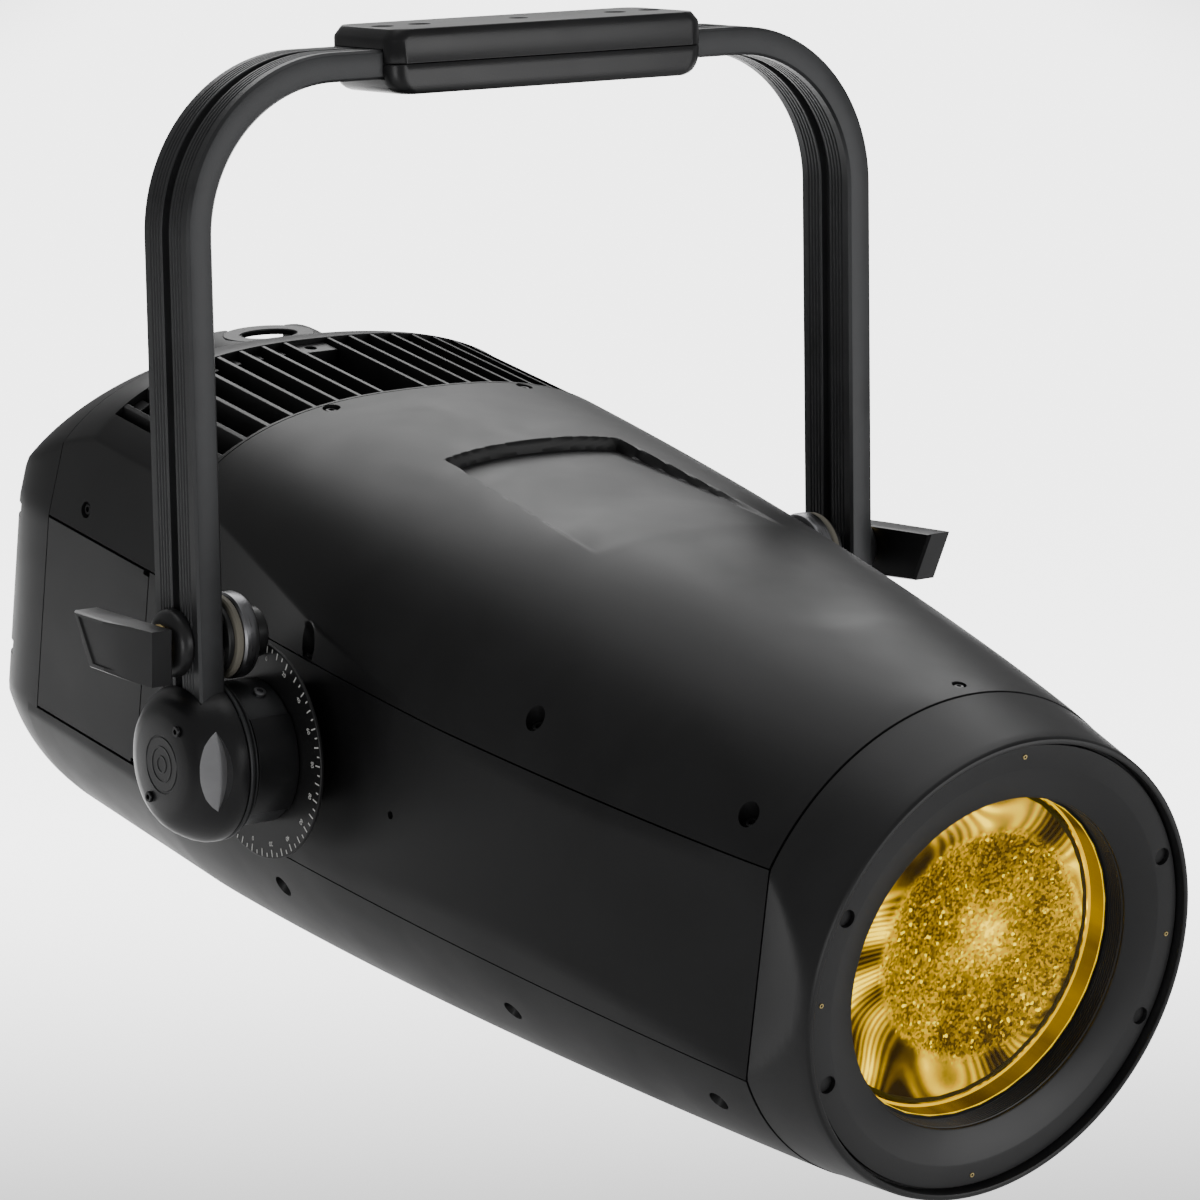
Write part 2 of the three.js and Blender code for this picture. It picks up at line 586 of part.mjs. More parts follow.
function ringOutline(forward, radius, flat, sides) {
  const points = [];
  for (let i = 0; i < sides; i += 1) {
    const angle = (i / sides) * 2 * Math.PI;
    const x = THREE.MathUtils.clamp(radius * Math.cos(angle), -flat, flat);
    points.push(new THREE.Vector3(x, -forward, radius * Math.sin(angle)));
  }
  return points;
}
add(head, 'front_ring', frontRing(), casting());

// Lens retainer: flat screw band, shallow funnel and a stepped tube down to the lens.
function lensRetainer() {
  const throat = LENS_RADIUS + 0.9;
  const profile = [[throat, -LENS_FACE - 2], [throat, -469], [125, -PLATE_FACE], [139.6, -PLATE_FACE],
    [139.6, -PLATE_FACE + 4], [118, -PLATE_FACE + 4], [108, -466], [108, -LENS_FACE - 2]];
  const plate = turned('y', profile, [0, 0, 0], 32);
  const holes = [];
  for (const side of [0, 180]) {
    for (const offset of [-23.15, 23.15]) {
      const angle = THREE.MathUtils.degToRad(side + offset);
      holes.push(rod('y', 5.5, -PLATE_FACE - 5, -PLATE_FACE + 10,
        [131.7 * Math.cos(angle), 0, 131.7 * Math.sin(angle)], 10));
    }
  }
  return cut(plate, ...holes);
}
add(head, 'lens_retainer', lensRetainer(), casting());

const gasket = ring('y', LENS_RADIUS - 1.6, LENS_RADIUS + 0.4, -LENS_FACE - 1.7, -LENS_FACE - GAP, [0, 0, 0], 32);
add(head, 'lens_gasket', gasket, blackPlastic());

// A lens: cylindrical edge, flat back and a domed front.
function lensSolid(radius, front, edge, bulge, sides) {
  const steps = 4;
  const profile = [[0, -front + edge], [radius, -front + edge], [radius, -front]];
  for (let i = 1; i <= steps; i += 1) {
    const share = 1 - i / steps;
    profile.push([(radius - 6) * share, -front - bulge * (1 - share ** 2)]);
  }
  return turned('y', profile, [0, 0, 0], sides);
}
add(head, 'front_lens', lensSolid(LENS_RADIUS, LENS_FACE, LENS_EDGE, 12, 32), amber());

const cellBack = -LENS_FACE + LENS_EDGE + 4;
const lensCell = turned('y', [[96, cellBack - 3.6], [LENS_RADIUS + GAP, cellBack - 3.6],
  [LENS_RADIUS + GAP, -LENS_FACE], [109, -LENS_FACE], [109, cellBack + 6], [122, cellBack + 6],
  [122, cellBack + 10], [96, cellBack + 10]], [0, 0, 0], 32);
add(head, 'lens_cell', lensCell, blackPlastic());

// ---------------------------------------------------------------- head: frame and tilt shafts

const CHASSIS_HALF = 150;
const FLOOR = -100;
const FRONT_BULKHEAD = 405;
const REAR_BULKHEAD = -118;

function chassis() {
  const floor = block([-90, -FRONT_BULKHEAD, FLOOR], [90, 300, FLOOR + 4]);
  const frontWall = rod('y', 134, -FRONT_BULKHEAD, -FRONT_BULKHEAD + 4, [0, 0, 0], 24);
  const frontHole = rod('y', 96, -FRONT_BULKHEAD - 5, -FRONT_BULKHEAD + 9, [0, 0, 0], 24);
  const rearWall = block([-CHASSIS_HALF, -REAR_BULKHEAD, FLOOR], [CHASSIS_HALF, -REAR_BULKHEAD + 4, 130]);
  const rearHole = rod('y', 62, -REAR_BULKHEAD - 5, -REAR_BULKHEAD + 9, [0, 0, 0], 20);
  const cheeks = [-1, 1].map((side) => block(
    [side < 0 ? -CHASSIS_HALF : CHASSIS_HALF - 4, -100, FLOOR],
    [side < 0 ? -CHASSIS_HALF + 4 : CHASSIS_HALF, -REAR_BULKHEAD + 2, 80]));
  const sill = block([-CHASSIS_HALF, -100, FLOOR], [CHASSIS_HALF, -REAR_BULKHEAD, FLOOR + 4]);
  return join(cut(frontWall, frontHole), cut(rearWall, rearHole), floor, sill, ...cheeks);
}
add(head, 'chassis', chassis(), bareAluminium());

// Trunnion bolted to the chassis cheek: foot, boss out through the side panel and shaft through the yoke.
function trunnion() {
  const profile = [[0, -CHASSIS_HALF - GAP], [60, -CHASSIS_HALF - GAP], [60, -CHASSIS_HALF - 8],
    [TRUNNION_RADIUS, -CHASSIS_HALF - 9], [TRUNNION_RADIUS, -DIAL_FACE + DIAL_THICK + GAP],
    [SHAFT_RADIUS, -DIAL_FACE + DIAL_THICK + GAP], [SHAFT_RADIUS, -HALF_SPAN - 9], [0, -HALF_SPAN - 9]];
  return turned('x', profile, [0, 0, 0], 28);
}
const dialPlate = () => ring('x', SHAFT_RADIUS + GAP, DIAL_RADIUS, -DIAL_FACE, -DIAL_FACE + DIAL_THICK, [0, 0, 0], 36);

for (const name of ['left', 'right']) {
  const side = new THREE.Group();
  if (name === 'right') side.rotation.z = Math.PI;
  add(side, `trunnion_${name}`, trunnion(), bareAluminium());
  add(side, `tilt_dial_${name}`, dialPlate(), blackPlastic());
  head.add(side);
}

// ---------------------------------------------------------------- head: optics

const ROD_RADIUS = 6;
const RODS = [[-112, -58], [112, -58]];
const ROD_FRONT = FRONT_BULKHEAD - 4 - GAP;
RODS.forEach(([x, z], i) => {
  const guide = rod('y', ROD_RADIUS, -ROD_FRONT, -REAR_BULKHEAD - GAP, [x, 0, z], 12);
  add(head, `guide_rod_${i === 0 ? 'left' : 'right'}`, guide, steel());
});

const ZOOM_AT = 150;
const FOCUS_AT = 270;

// Carriage plate that slides on both rods and carries a lens in its round window.
function carriage(forward, windowRadius) {
  const plate = block([-124, -forward, -72], [124, -forward + 5, 40]);
  const hoop = rod('y', windowRadius + 12, -forward, -forward + 5, [0, 0, 0], 24);
  const bushes = RODS.map(([x, z]) => rod('y', 10, -forward, -forward + 26, [x, 0, z], 12));
  const window = rod('y', windowRadius - 3, -forward - 5, -forward + 12, [0, 0, 0], 24);
  const bores = RODS.map(([x, z]) => rod('y', ROD_RADIUS + 0.4, -forward - 5, -forward + 40, [x, 0, z], 12));
  return cut(join(plate, hoop, ...bushes), window, ...bores);
}
add(head, 'zoom_carriage', carriage(ZOOM_AT, 62), bareAluminium());
add(head, 'focus_carriage', carriage(FOCUS_AT, 74), bareAluminium());
add(head, 'zoom_lens', lensSolid(62, ZOOM_AT + 8 + GAP, 8, 8, 24), clearGlass());
add(head, 'focus_lens', lensSolid(74, FOCUS_AT + 8 + GAP, 8, 9, 24), clearGlass());

// A wheel of round apertures on its hub, standing beside the beam so that one aperture lies in it.
function apertureWheel(forward, centreX, radius, apertures, apertureRadius) {
  const reach = Math.abs(centreX);
  const disc = rod('y', radius, -forward, -forward + 2.5, [centreX, 0, 0], 28);
  const hub = rod('y', 11, -forward, -forward + 12, [centreX, 0, 0], 12);
  const holes = [];
  for (let i = 0; i < apertures; i += 1) {
    const angle = (i / apertures) * 2 * Math.PI;
    holes.push(rod('y', apertureRadius, -forward - 3, -forward + 6,
      [centreX + reach * Math.cos(angle), 0, reach * Math.sin(angle)], 10));
  }
  return cut(join(disc, hub), ...holes);
}
add(head, 'color_wheel', apertureWheel(-20, -52, 76, 6, 19), steel());
add(head, 'gobo_wheel', apertureWheel(10, 52, 76, 6, 17), steel());

// ---------------------------------------------------------------- head: light engine and electrics

function lightEngine() {
  const board = block([-70, -REAR_BULKHEAD + 5, -56], [70, -REAR_BULKHEAD + 11, 60]);
  const condenser = turned('y', [[0, 56], [34, 56], [46, 100], [46, -REAR_BULKHEAD + 6], [0, -REAR_BULKHEAD + 6]]);
  return join(board, condenser);
}
add(head, 'led_engine', lightEngine(), blackPlastic());

function heatSink() {
  const front = -REAR_BULKHEAD + 11 + GAP;
  const base = block([-95, front, -60], [95, front + 10, 110]);
  const fins = [];
  const finCount = 11;
  for (let i = 0; i < finCount; i += 1) {
    const x = -93 + i * (186 / (finCount - 1));
    fins.push(block([x - 1.2, front, -60], [x + 1.2, front + 90, 110]));
  }
  return join(base, ...fins);
}
add(head, 'heat_sink', heatSink(), bareAluminium());

function fanRotor() {
  const [from, to] = [-VENT_BACK + 12, -VENT_BACK + 28];
  const hub = rod('y', 16, from, to, [0, 0, -28], 12);
  const blades = [];
  const bladeCount = 5;
  for (let i = 0; i < bladeCount; i += 1) {
    const geometry = new THREE.BoxGeometry(30, 2, 15);
    geometry.rotateX(0.9);
    geometry.translate(28, 0, 0);
    geometry.rotateY((i / bladeCount) * 2 * Math.PI);
    geometry.translate(0, (from + to) / 2, -28);
    blades.push(toSolid(geometry));
  }
  return join(hub, ...blades);
}
add(head, 'fan_rotor', fanRotor(), blackPlastic());

const supply = block([-80, 20 - REAR_BULKHEAD, FLOOR - 52], [80, 160 - REAR_BULKHEAD, FLOOR - GAP]);
add(head, 'power_supply', supply, bareAluminium());
const controlBoard = block([-60, -60, FLOOR + 8], [60, 40, FLOOR + 10]);
add(head, 'control_board', controlBoard, boardGreen());

// ---------------------------------------------------------------- head: tail fittings

const PANEL_FACE = TAIL + 0.5;
const displayFrame = cut(
  block([-61.5, 352, 30.5], [61.5, PANEL_FACE, 89.5]),
  block([-50, PANEL_FACE - 2, 40], [22, PANEL_FACE + 5, 82]),
  ...[0, 1, 2].map((i) => rod('y', 6.4, 340, 400, [42, 0, 44 + 16 * i], 12)));
add(head, 'display_panel', displayFrame, blackPlastic());
['down', 'enter', 'up'].forEach((word, i) => {
  const stem = rod('y', 6, PANEL_FACE - 12, PANEL_FACE + 2.5, [42, 0, 44 + 16 * i], 12);
  add(head, `menu_button_${word}`, stem, blackPlastic());
});
add(head, 'power_inlet', block([-59.5, 340, -124.5], [-24.5, TAIL + 1.5, -97.5]), blackPlastic());
add(head, 'data_sockets', block([10.5, 340, -127.5], [69.5, TAIL + 1.5, -94.5]), blackPlastic());

export default spot;
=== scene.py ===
"""Looks for the follow spot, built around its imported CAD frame.

Lengths in the code are millimetres. Pieces of the head are laid out in the head's own directions,
x across, y towards the tail and z up from the tilt axis, and are turned into the row frame by HEAD.
"Forward" distances are counted from the tilt axis towards the nose.
"""
import json
from math import atan2, cos, hypot, pi, radians, sin, tau

import bmesh
import bpy
import numpy as np
from mathutils import Matrix, Vector


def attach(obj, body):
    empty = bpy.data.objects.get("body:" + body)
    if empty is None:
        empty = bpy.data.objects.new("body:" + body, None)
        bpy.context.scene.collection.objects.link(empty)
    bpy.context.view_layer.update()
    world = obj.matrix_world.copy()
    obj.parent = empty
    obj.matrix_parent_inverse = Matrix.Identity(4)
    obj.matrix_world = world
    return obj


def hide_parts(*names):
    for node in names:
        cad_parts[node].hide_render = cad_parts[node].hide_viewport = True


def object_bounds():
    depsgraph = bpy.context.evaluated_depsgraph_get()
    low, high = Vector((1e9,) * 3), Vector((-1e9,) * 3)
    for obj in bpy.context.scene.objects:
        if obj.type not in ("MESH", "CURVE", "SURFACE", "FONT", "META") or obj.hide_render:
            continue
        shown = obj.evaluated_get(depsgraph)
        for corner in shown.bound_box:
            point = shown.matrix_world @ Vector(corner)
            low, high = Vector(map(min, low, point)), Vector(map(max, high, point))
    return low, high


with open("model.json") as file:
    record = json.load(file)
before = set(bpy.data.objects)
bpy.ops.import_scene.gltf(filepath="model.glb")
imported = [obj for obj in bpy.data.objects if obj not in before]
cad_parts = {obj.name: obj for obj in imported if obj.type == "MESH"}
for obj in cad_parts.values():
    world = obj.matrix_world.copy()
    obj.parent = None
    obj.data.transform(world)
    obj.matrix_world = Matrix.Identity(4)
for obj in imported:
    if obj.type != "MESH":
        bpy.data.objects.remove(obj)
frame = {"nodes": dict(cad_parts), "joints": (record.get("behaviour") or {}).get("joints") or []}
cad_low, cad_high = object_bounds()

MM = 0.001
JOINTS = {joint["name"]: joint for joint in frame["joints"]}
PIVOT = Vector(JOINTS["head_tilt"]["pos_m"])
BACK = -Vector(JOINTS["zoom_slide"]["axis"]).normalized()
ACROSS = Vector((1, 0, 0))
HEAD = Matrix.Translation(PIVOT) @ Matrix((ACROSS, BACK, ACROSS.cross(BACK))).transposed().to_4x4()
TILT = atan2(BACK.z, BACK.y)
HALF_TURN = Matrix.Rotation(pi, 4, "Z")
YOKE = {"left": Matrix.Identity(4), "right": HALF_TURN}
HUB = {side: YOKE[side] @ Matrix.Translation(PIVOT) for side in YOKE}

# ---- camera

CAMERA_AT = Vector((-1.88239, -2.64795, 0.20219))
CAMERA_AIM = Vector((0.04398, -0.01854, -0.38205))
CAMERA_ROLL = radians(-0.895)
SENSOR = 36.0
LENS_LENGTH = 151.26


def new_object(name, data):
    obj = bpy.data.objects.new(name, data)
    bpy.context.scene.collection.objects.link(obj)
    return obj


camera = new_object("camera", bpy.data.cameras.new("camera"))
camera.data.sensor_width = SENSOR
camera.data.lens = LENS_LENGTH
camera.data.clip_start = 0.05
camera.data.clip_end = 60
look = (CAMERA_AIM - CAMERA_AT).to_track_quat("-Z", "Y").to_matrix().to_4x4()
camera.matrix_world = Matrix.Translation(CAMERA_AT) @ look @ Matrix.Rotation(CAMERA_ROLL, 4, "Z")
bpy.context.scene.camera = camera

# ---- dimensions of the head

# Distances forward of the tilt axis: the seams between the covers and the end of the tail.
RING_SEAM, VENT_FRONT, VENT_BACK, TAIL_SEAM, TAIL = 425.0, -150.0, -275.0, -311.0, -371.0
SIDE_SEAM = -180.0
# Radii, half widths and heights of the casing, at its front ring and at its fullest.
RING_RADIUS, RING_FLAT, HALF_WIDTH, FULL_WIDTH = 155.0, 140.0, 188.0, 198.0
ROOF, BELLY, ROOF_DROP = 175.0, 198.5, 38.0
SHOULDER, HIP = 45.0, -28.0
SIDE_LEAN, LEAN_FROM, LEAN_START, LEAN_FULL = 0.16, 56.0, 20.0, -150.0
FLAT_START = -20.0
SECTION_POINTS = 160
# Heights of the long seams at the front ring, and how far they fall for each millimetre backwards.
UPPER_SEAM, UPPER_FALL, LOWER_SEAM, LOWER_FALL = 66.0, 0.0132, -67.0, 0.021
SEAM_HALF = 0.5
SKIN = 12.0
SIDES = (("left", -1), ("right", 1))


def mix(a, b, share):
    return a + (b - a) * share


def clamp(value):
    return min(1.0, max(0.0, value))


def ease(value):
    value = clamp(value)
    return value * value * (3 - 2 * value)


def upper_seam(forward):
    return UPPER_SEAM - (RING_SEAM - forward) * UPPER_FALL


def lower_seam(forward):
    return LOWER_SEAM - (RING_SEAM - forward) * LOWER_FALL


def outline(forward, inset=0.0, shrink=1.0):
    """Right half of the casing's section, from the middle of the roof to the middle of the belly."""
    share = clamp((RING_SEAM - forward) / (RING_SEAM - VENT_FRONT))
    tail_share = clamp((VENT_BACK - forward) / (VENT_BACK - TAIL))
    lean_share = clamp((LEAN_START - forward) / (LEAN_START - LEAN_FULL))
    side_share = clamp((forward - FLAT_START) / (RING_SEAM - FLAT_START))
    width = mix(RING_RADIUS, FULL_WIDTH, 1 - (1 - share) ** 2.2) - inset
    roof = mix(RING_RADIUS, ROOF, 1 - (1 - share) ** 2.08) - inset - ROOF_DROP * tail_share ** 1.5
    belly = mix(RING_RADIUS, BELLY, 1 - (1 - share) ** 1.4) - inset
    roof_power = 2 / (2 + 0.6 * share ** 0.73 * (1 - tail_share))
    belly_power = 2 / (2 + 0.18 * share ** 1.18)
    shoulder, hip = SHOULDER * share, HIP * share
    angle = np.linspace(pi / 2, 0, SECTION_POINTS)
    across, up = np.clip(np.cos(angle), 0, 1), np.clip(np.sin(angle), 0, 1)
    top_x, top_z = width * across ** roof_power, shoulder + (roof - shoulder) * up ** roof_power
    low_x, low_z = width * across ** belly_power, hip - (belly + hip) * up ** belly_power
    x = np.concatenate([top_x, low_x[::-1]])
    z = np.concatenate([top_z, low_z[::-1]])
    flat = mix(HALF_WIDTH, RING_FLAT, side_share ** 2.5) - inset
    flat = flat - SIDE_LEAN * lean_share * np.maximum(0, z - LEAN_FROM)
    return np.stack([np.minimum(x, flat), z], 1) * shrink


def spaced(points, count):
    """The same line with evenly spaced points."""
    steps = np.linalg.norm(np.diff(points, axis=0), axis=1)
    along = np.concatenate([[0], np.cumsum(steps)])
    target = np.linspace(0, along[-1], count)
    return np.stack([np.interp(target, along, points[:, 0]), np.interp(target, along, points[:, 1])], 1)


def between(line, low, high):
    """The part of a falling line between two heights."""
    z = line[::-1, 1]
    x = line[::-1, 0]
    inside = line[(line[:, 1] < high - 1e-6) & (line[:, 1] > low + 1e-6)]
    ends = [np.array([[np.interp(h, z, x), h]]) for h in (high, low)]
    top = [] if high > line[0, 1] else [ends[0]]
    bottom = [] if low < line[-1, 1] else [ends[1]]
    return np.concatenate([*top, inside, *bottom])


def side_x(forward, height):
    line = outline(forward)
    return float(np.interp(height, line[::-1, 1], line[::-1, 0]))


def roof_z(forward, x):
    line = outline(forward)
    upper = line[line[:, 1] > LEAN_FROM]
    return float(np.interp(abs(x), upper[:, 0], upper[:, 1]))

# ---- shapes, each a pair of points and faces


def joined(*shapes):
    points, faces = [], []
    for more_points, more_faces in shapes:
        start = len(points)
        points.extend(more_points)
        faces.extend([tuple(i + start for i in face) for face in more_faces])
    return points, faces


def moved(shape, matrix):
    return [tuple(matrix @ Vector(p)) for p in shape[0]], shape[1]


def lathe(axis, profile, centre=(0, 0, 0), sides=96, closed=True):
    """A profile of (radius, distance) points turned about an axis."""
    points, rings, faces = [], [], []
    cx, cy, cz = centre
    for radius, along in profile:
        ring = []
        for i in range(1 if radius == 0 else sides):
            angle = 2 * pi * i / sides
            a, b = radius * cos(angle), radius * sin(angle)
            spot = {"x": (along, a, b), "y": (a, along, b), "z": (a, b, along)}[axis]
            ring.append(len(points))
            points.append((spot[0] + cx, spot[1] + cy, spot[2] + cz))
        rings.append(ring)
    pairs = list(zip(rings, rings[1:] + rings[:1])) if closed else list(zip(rings, rings[1:]))
    for first, second in pairs:
        if len(first) == 1 and len(second) == 1:
            continue
        for i in range(sides):
            j = (i + 1) % sides
            if len(first) == 1:
                faces.append((first[0], second[i], second[j]))
            elif len(second) == 1:
                faces.append((first[j], first[i], second[0]))
            else:
                faces.append((first[i], first[j], second[j], second[i]))
    return points, faces


def rod(axis, radius, start, end, centre=(0, 0, 0), sides=32):
    return lathe(axis, [(0, start), (radius, start), (radius, end), (0, end)], centre, sides, closed=False)


def loft(rings, close=True):
    """A skin over rings of equal numbers of points, with its ends filled."""
    count = len(rings[0])
    points = [tuple(p) for ring in rings for p in ring]
    faces = []
    for r in range(len(rings) - 1):
        for i in range(count):
            a, b = r * count + i, r * count + (i + 1) % count
            faces.append((a, b, b + count, a + count))
    if close:
        faces.append(tuple(range(count)))
        faces.append(tuple(range(len(points) - 1, len(points) - 1 - count, -1)))
    return points, faces


def box(low, high):
    (x0, y0, z0), (x1, y1, z1) = low, high
    lower = [(x0, y0, z0), (x1, y0, z0), (x1, y1, z0), (x0, y1, z0)]
    upper = [(x0, y0, z1), (x1, y0, z1), (x1, y1, z1), (x0, y1, z1)]
    return loft([lower, upper])


def side_box(side, near, far, low, high):
    """A box on one side of the middle, between two distances from it and two (y, z) corners."""
    x0, x1 = sorted((side * near, side * far))
    return box((x0, *low), (x1, *high))


def prism(flat, low, high):
    """An outline of (x, y) points carried between two heights."""
    return loft([[(x, y, z) for x, y in flat] for z in (low, high)])


def grid(rows):
    count = len(rows[0])
    points = [tuple(p) for row in rows for p in row]
    faces = []
    for r in range(len(rows) - 1):
        for i in range(count - 1):
            a = r * count + i
            faces.append((a, a + 1, a + 1 + count, a + count))
    return points, faces


def arc(radius, start, end, steps, centre=(0, 0)):
    angles = [radians(mix(start, end, i / steps)) for i in range(steps + 1)]
    return [(centre[0] + radius * cos(t), centre[1] + radius * sin(t)) for t in angles]


def around(radius, degrees, y):
    """A point at an angle round the beam's axis."""
    angle = radians(degrees)
    return (radius * cos(angle), y, radius * sin(angle))


def inwards(face, points):
    """A turned profile whose distances are counted from a face."""
    return [(radius, face + along) for radius, along in points]


def turn_to(direction):
    """The rotation that carries +z to a direction."""
    return Vector((0, 0, 1)).rotation_difference(direction).to_matrix().to_4x4()

# ---- objects


def solid(name, shape, place=HEAD):
    mesh = bpy.data.meshes.new(name)
    mesh.from_pydata([place @ (Vector(p) * MM) for p in shape[0]], [], shape[1])
    work = bmesh.new()
    work.from_mesh(mesh)
    bmesh.ops.remove_doubles(work, verts=work.verts, dist=1e-6)
    bmesh.ops.recalc_face_normals(work, faces=work.faces)
    work.to_mesh(mesh)
    work.free()
    return new_object(name, mesh)


def apply_modifiers(obj):
    graph = bpy.context.evaluated_depsgraph_get()
    mesh = bpy.data.meshes.new_from_object(obj.evaluated_get(graph))
    obj.modifiers.clear()
    obj.data = mesh


def thicken(obj, depth):
    """Gives a skin its thickness, inwards."""
    skin = obj.modifiers.new("skin", "SOLIDIFY")
    skin.thickness = depth * MM
    skin.offset = -1
    skin.use_even_offset = True
    apply_modifiers(obj)


def cut(obj, *shapes, place=HEAD):
    """Takes each shape away from obj."""
    tools = []
    for shape in shapes:
        tool = solid("tool", shape, place)
        tools.append(tool)
        carve = obj.modifiers.new("cut", "BOOLEAN")
        carve.operation = "DIFFERENCE"
        carve.solver = "EXACT"
        carve.object = tool
    apply_modifiers(obj)
    for tool in tools:
        bpy.data.objects.remove(tool)


def put(obj, material, body="head", replaces=(), slot=None, bevel=0.0, segments=2, sharp=32.0):
    """Finishes a piece: material, smoothing, softened edges and the body it rides on."""
    obj.data.materials.clear()
    obj.data.materials.append(material)
    for face in obj.data.polygons:
        face.use_smooth = True
    if bevel:
        soften = obj.modifiers.new("soften", "BEVEL")
        soften.width = bevel * MM
        soften.segments = segments
        soften.limit_method = "ANGLE"
        soften.angle_limit = radians(sharp)
        soften.harden_normals = True
        soften.use_clamp_overlap = True
    else:
        obj.data.set_sharp_from_angle(angle=radians(sharp))
    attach(obj, body)
    if replaces:
        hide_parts(*replaces)
    return obj


def piece(name, shape, material, body="head", place=HEAD, **finish):
    """A solid that needs no cutting, finished as put() does."""
    return put(solid(name, shape, place), material, body, **finish)

# ---- materials


def shader(name, **sockets):
    material = bpy.data.materials.new(name)
    material.use_nodes = True
    nodes, links = material.node_tree.nodes, material.node_tree.links
    base = nodes["Principled BSDF"]
    for socket, value in sockets.items():
        base.inputs[socket.replace("_", " ")].default_value = value
    return material, nodes, links, base


def add(nodes, kind, **sockets):
    """A new node with the values of its sockets."""
    node = nodes.new("ShaderNode" + kind)
    for socket, value in sockets.items():
        node.inputs[socket.replace("_", " ")].default_value = value
    return node


def noise(nodes, links, coords, scale, detail=2.0, distortion=0.0, rough=0.5):
    texture = add(nodes, "TexNoise", Scale=scale, Detail=detail, Roughness=rough, Distortion=distortion)
    links.new(coords, texture.inputs["Vector"])
    return texture.outputs["Fac"]


def ramp(nodes, links, factor, stops):
    node = add(nodes, "ValToRGB")
    elements = node.color_ramp.elements
    for element, (position, color) in zip(elements, (stops[0], stops[-1])):
        element.position = position
        element.color = (*color, 1)
    for position, color in stops[1:-1]:
        elements.new(position).color = (*color, 1)
    links.new(factor, node.inputs["Fac"])
    return node.outputs["Color"]


def scaled(nodes, links, factor, low, high):
    node = add(nodes, "MapRange", From_Min=0.3, From_Max=0.7, To_Min=low, To_Max=high)
    links.new(factor, node.inputs["Value"])
    return node.outputs["Result"]


def bump(nodes, links, base, height, strength, distance):
    node = add(nodes, "Bump", Strength=strength, Distance=distance)
    links.new(height, node.inputs["Height"])
    links.new(node.outputs["Normal"], base.inputs["Normal"])


def grained(name, color, rough, metallic=0.0, grain=1300.0, strength=0.25, spread=0.18, **sockets):
    """A painted, moulded or cast surface: fine grain, faint cloudiness and uneven gloss."""
    material, nodes, links, base = shader(name, Metallic=metallic, **sockets)
    coords = add(nodes, "TexCoord").outputs["Object"]
    cloud = noise(nodes, links, coords, 14.0, 4.0, 0.4)
    fine = noise(nodes, links, coords, grain, 3.0)
    darker = tuple(c * (1 - spread) for c in color)
    lighter = tuple(c * (1 + spread) for c in color)
    links.new(ramp(nodes, links, cloud, [(0.35, darker), (0.65, lighter)]), base.inputs["Base Color"])
    links.new(scaled(nodes, links, cloud, rough - 0.05, rough + 0.05), base.inputs["Roughness"])
    bump(nodes, links, base, fine, strength, 0.0002)
    return material


def brushed(name, color, rough, stretch=(40.0, 900.0, 900.0), metallic=1.0):
    """Turned or brushed metal with fine streaks."""
    material, nodes, links, base = shader(name, Metallic=metallic)
    coords = add(nodes, "TexCoord").outputs["Object"]
    mapping = add(nodes, "Mapping", Scale=stretch)
    links.new(coords, mapping.inputs["Vector"])
    streak = noise(nodes, links, mapping.outputs["Vector"], 1.0, 3.0)
    darker = tuple(c * 0.8 for c in color)
    links.new(ramp(nodes, links, streak, [(0.3, darker), (0.7, color)]), base.inputs["Base Color"])
    links.new(scaled(nodes, links, streak, rough - 0.08, rough + 0.08), base.inputs["Roughness"])
    bump(nodes, links, base, streak, 0.05, 0.00005)
    return material


COVER = grained("cover_black", (0.0115, 0.0115, 0.012), 0.43, 0.0, 1100.0, 0.2, Specular_IOR_Level=0.36)
RING_BLACK = grained("ring_black", (0.013, 0.013, 0.0135), 0.40, 0.0, 1200.0, 0.2, Specular_IOR_Level=0.42)
CAST = grained("cast_black", (0.013, 0.013, 0.014), 0.33, 0.1, 900.0, 0.3, Specular_IOR_Level=0.45)
ARM_COAT = grained("arm_coat", (0.042, 0.043, 0.045), 0.42, 0.4, 1500.0, 0.5, 0.22)
PLASTIC = grained("black_plastic", (0.012, 0.012, 0.0125), 0.40, 0.0, 1500.0, 0.2)
LEVER_COAT = grained("lever_coat", (0.026, 0.026, 0.027), 0.33, 0.3, 1500.0, 0.25)
DIAL_COAT = grained("dial_coat", (0.012, 0.012, 0.0125), 0.45, 0.1, 1500.0, 0.2)
TICK = grained("tick_paint", (0.85, 0.85, 0.82), 0.6, 0.0, 2500.0, 0.1, 0.1)
FIBRE = grained("fibre_washer", (0.20, 0.185, 0.15), 0.8, 0.0, 500.0, 0.6, 0.3)
# Near-black for the sheet and discs that stand in for shade: painted shade.
DARK = grained("painted_shade_black", (0.006, 0.006, 0.0065), 0.6, 0.0, 900.0, 0.2)
DARK_METAL = grained("dark_anodised", (0.020, 0.020, 0.021), 0.45, 0.6, 1200.0, 0.2)
ALUMINIUM = brushed("mill_aluminium", (0.62, 0.63, 0.64), 0.38)
FACET = grained("machined_facet", (0.33, 0.33, 0.34), 0.42, 0.8, 1500.0, 0.4, 0.15)
STEEL = brushed("turned_steel", (0.26, 0.26, 0.27), 0.34, (900.0, 60.0, 60.0))
BRASS = brushed("brass_screw", (0.75, 0.58, 0.25), 0.3)
BLACK_STEEL = grained("black_steel", (0.030, 0.030, 0.031), 0.3, 0.7, 1800.0, 0.15)
CLEAR = grained("optic_glass", (0.80, 0.86, 0.88), 0.06, 0.0, 300.0, 0.02, 0.03, Transmission_Weight=0.9)
BOARD = grained("board_green", (0.02, 0.12, 0.05), 0.5, 0.0, 700.0, 0.4, 0.4)
SCREEN = grained("screen_glass", (0.008, 0.012, 0.018), 0.12, 0.0, 800.0, 0.03, 0.3, Coat_Weight=1.0)
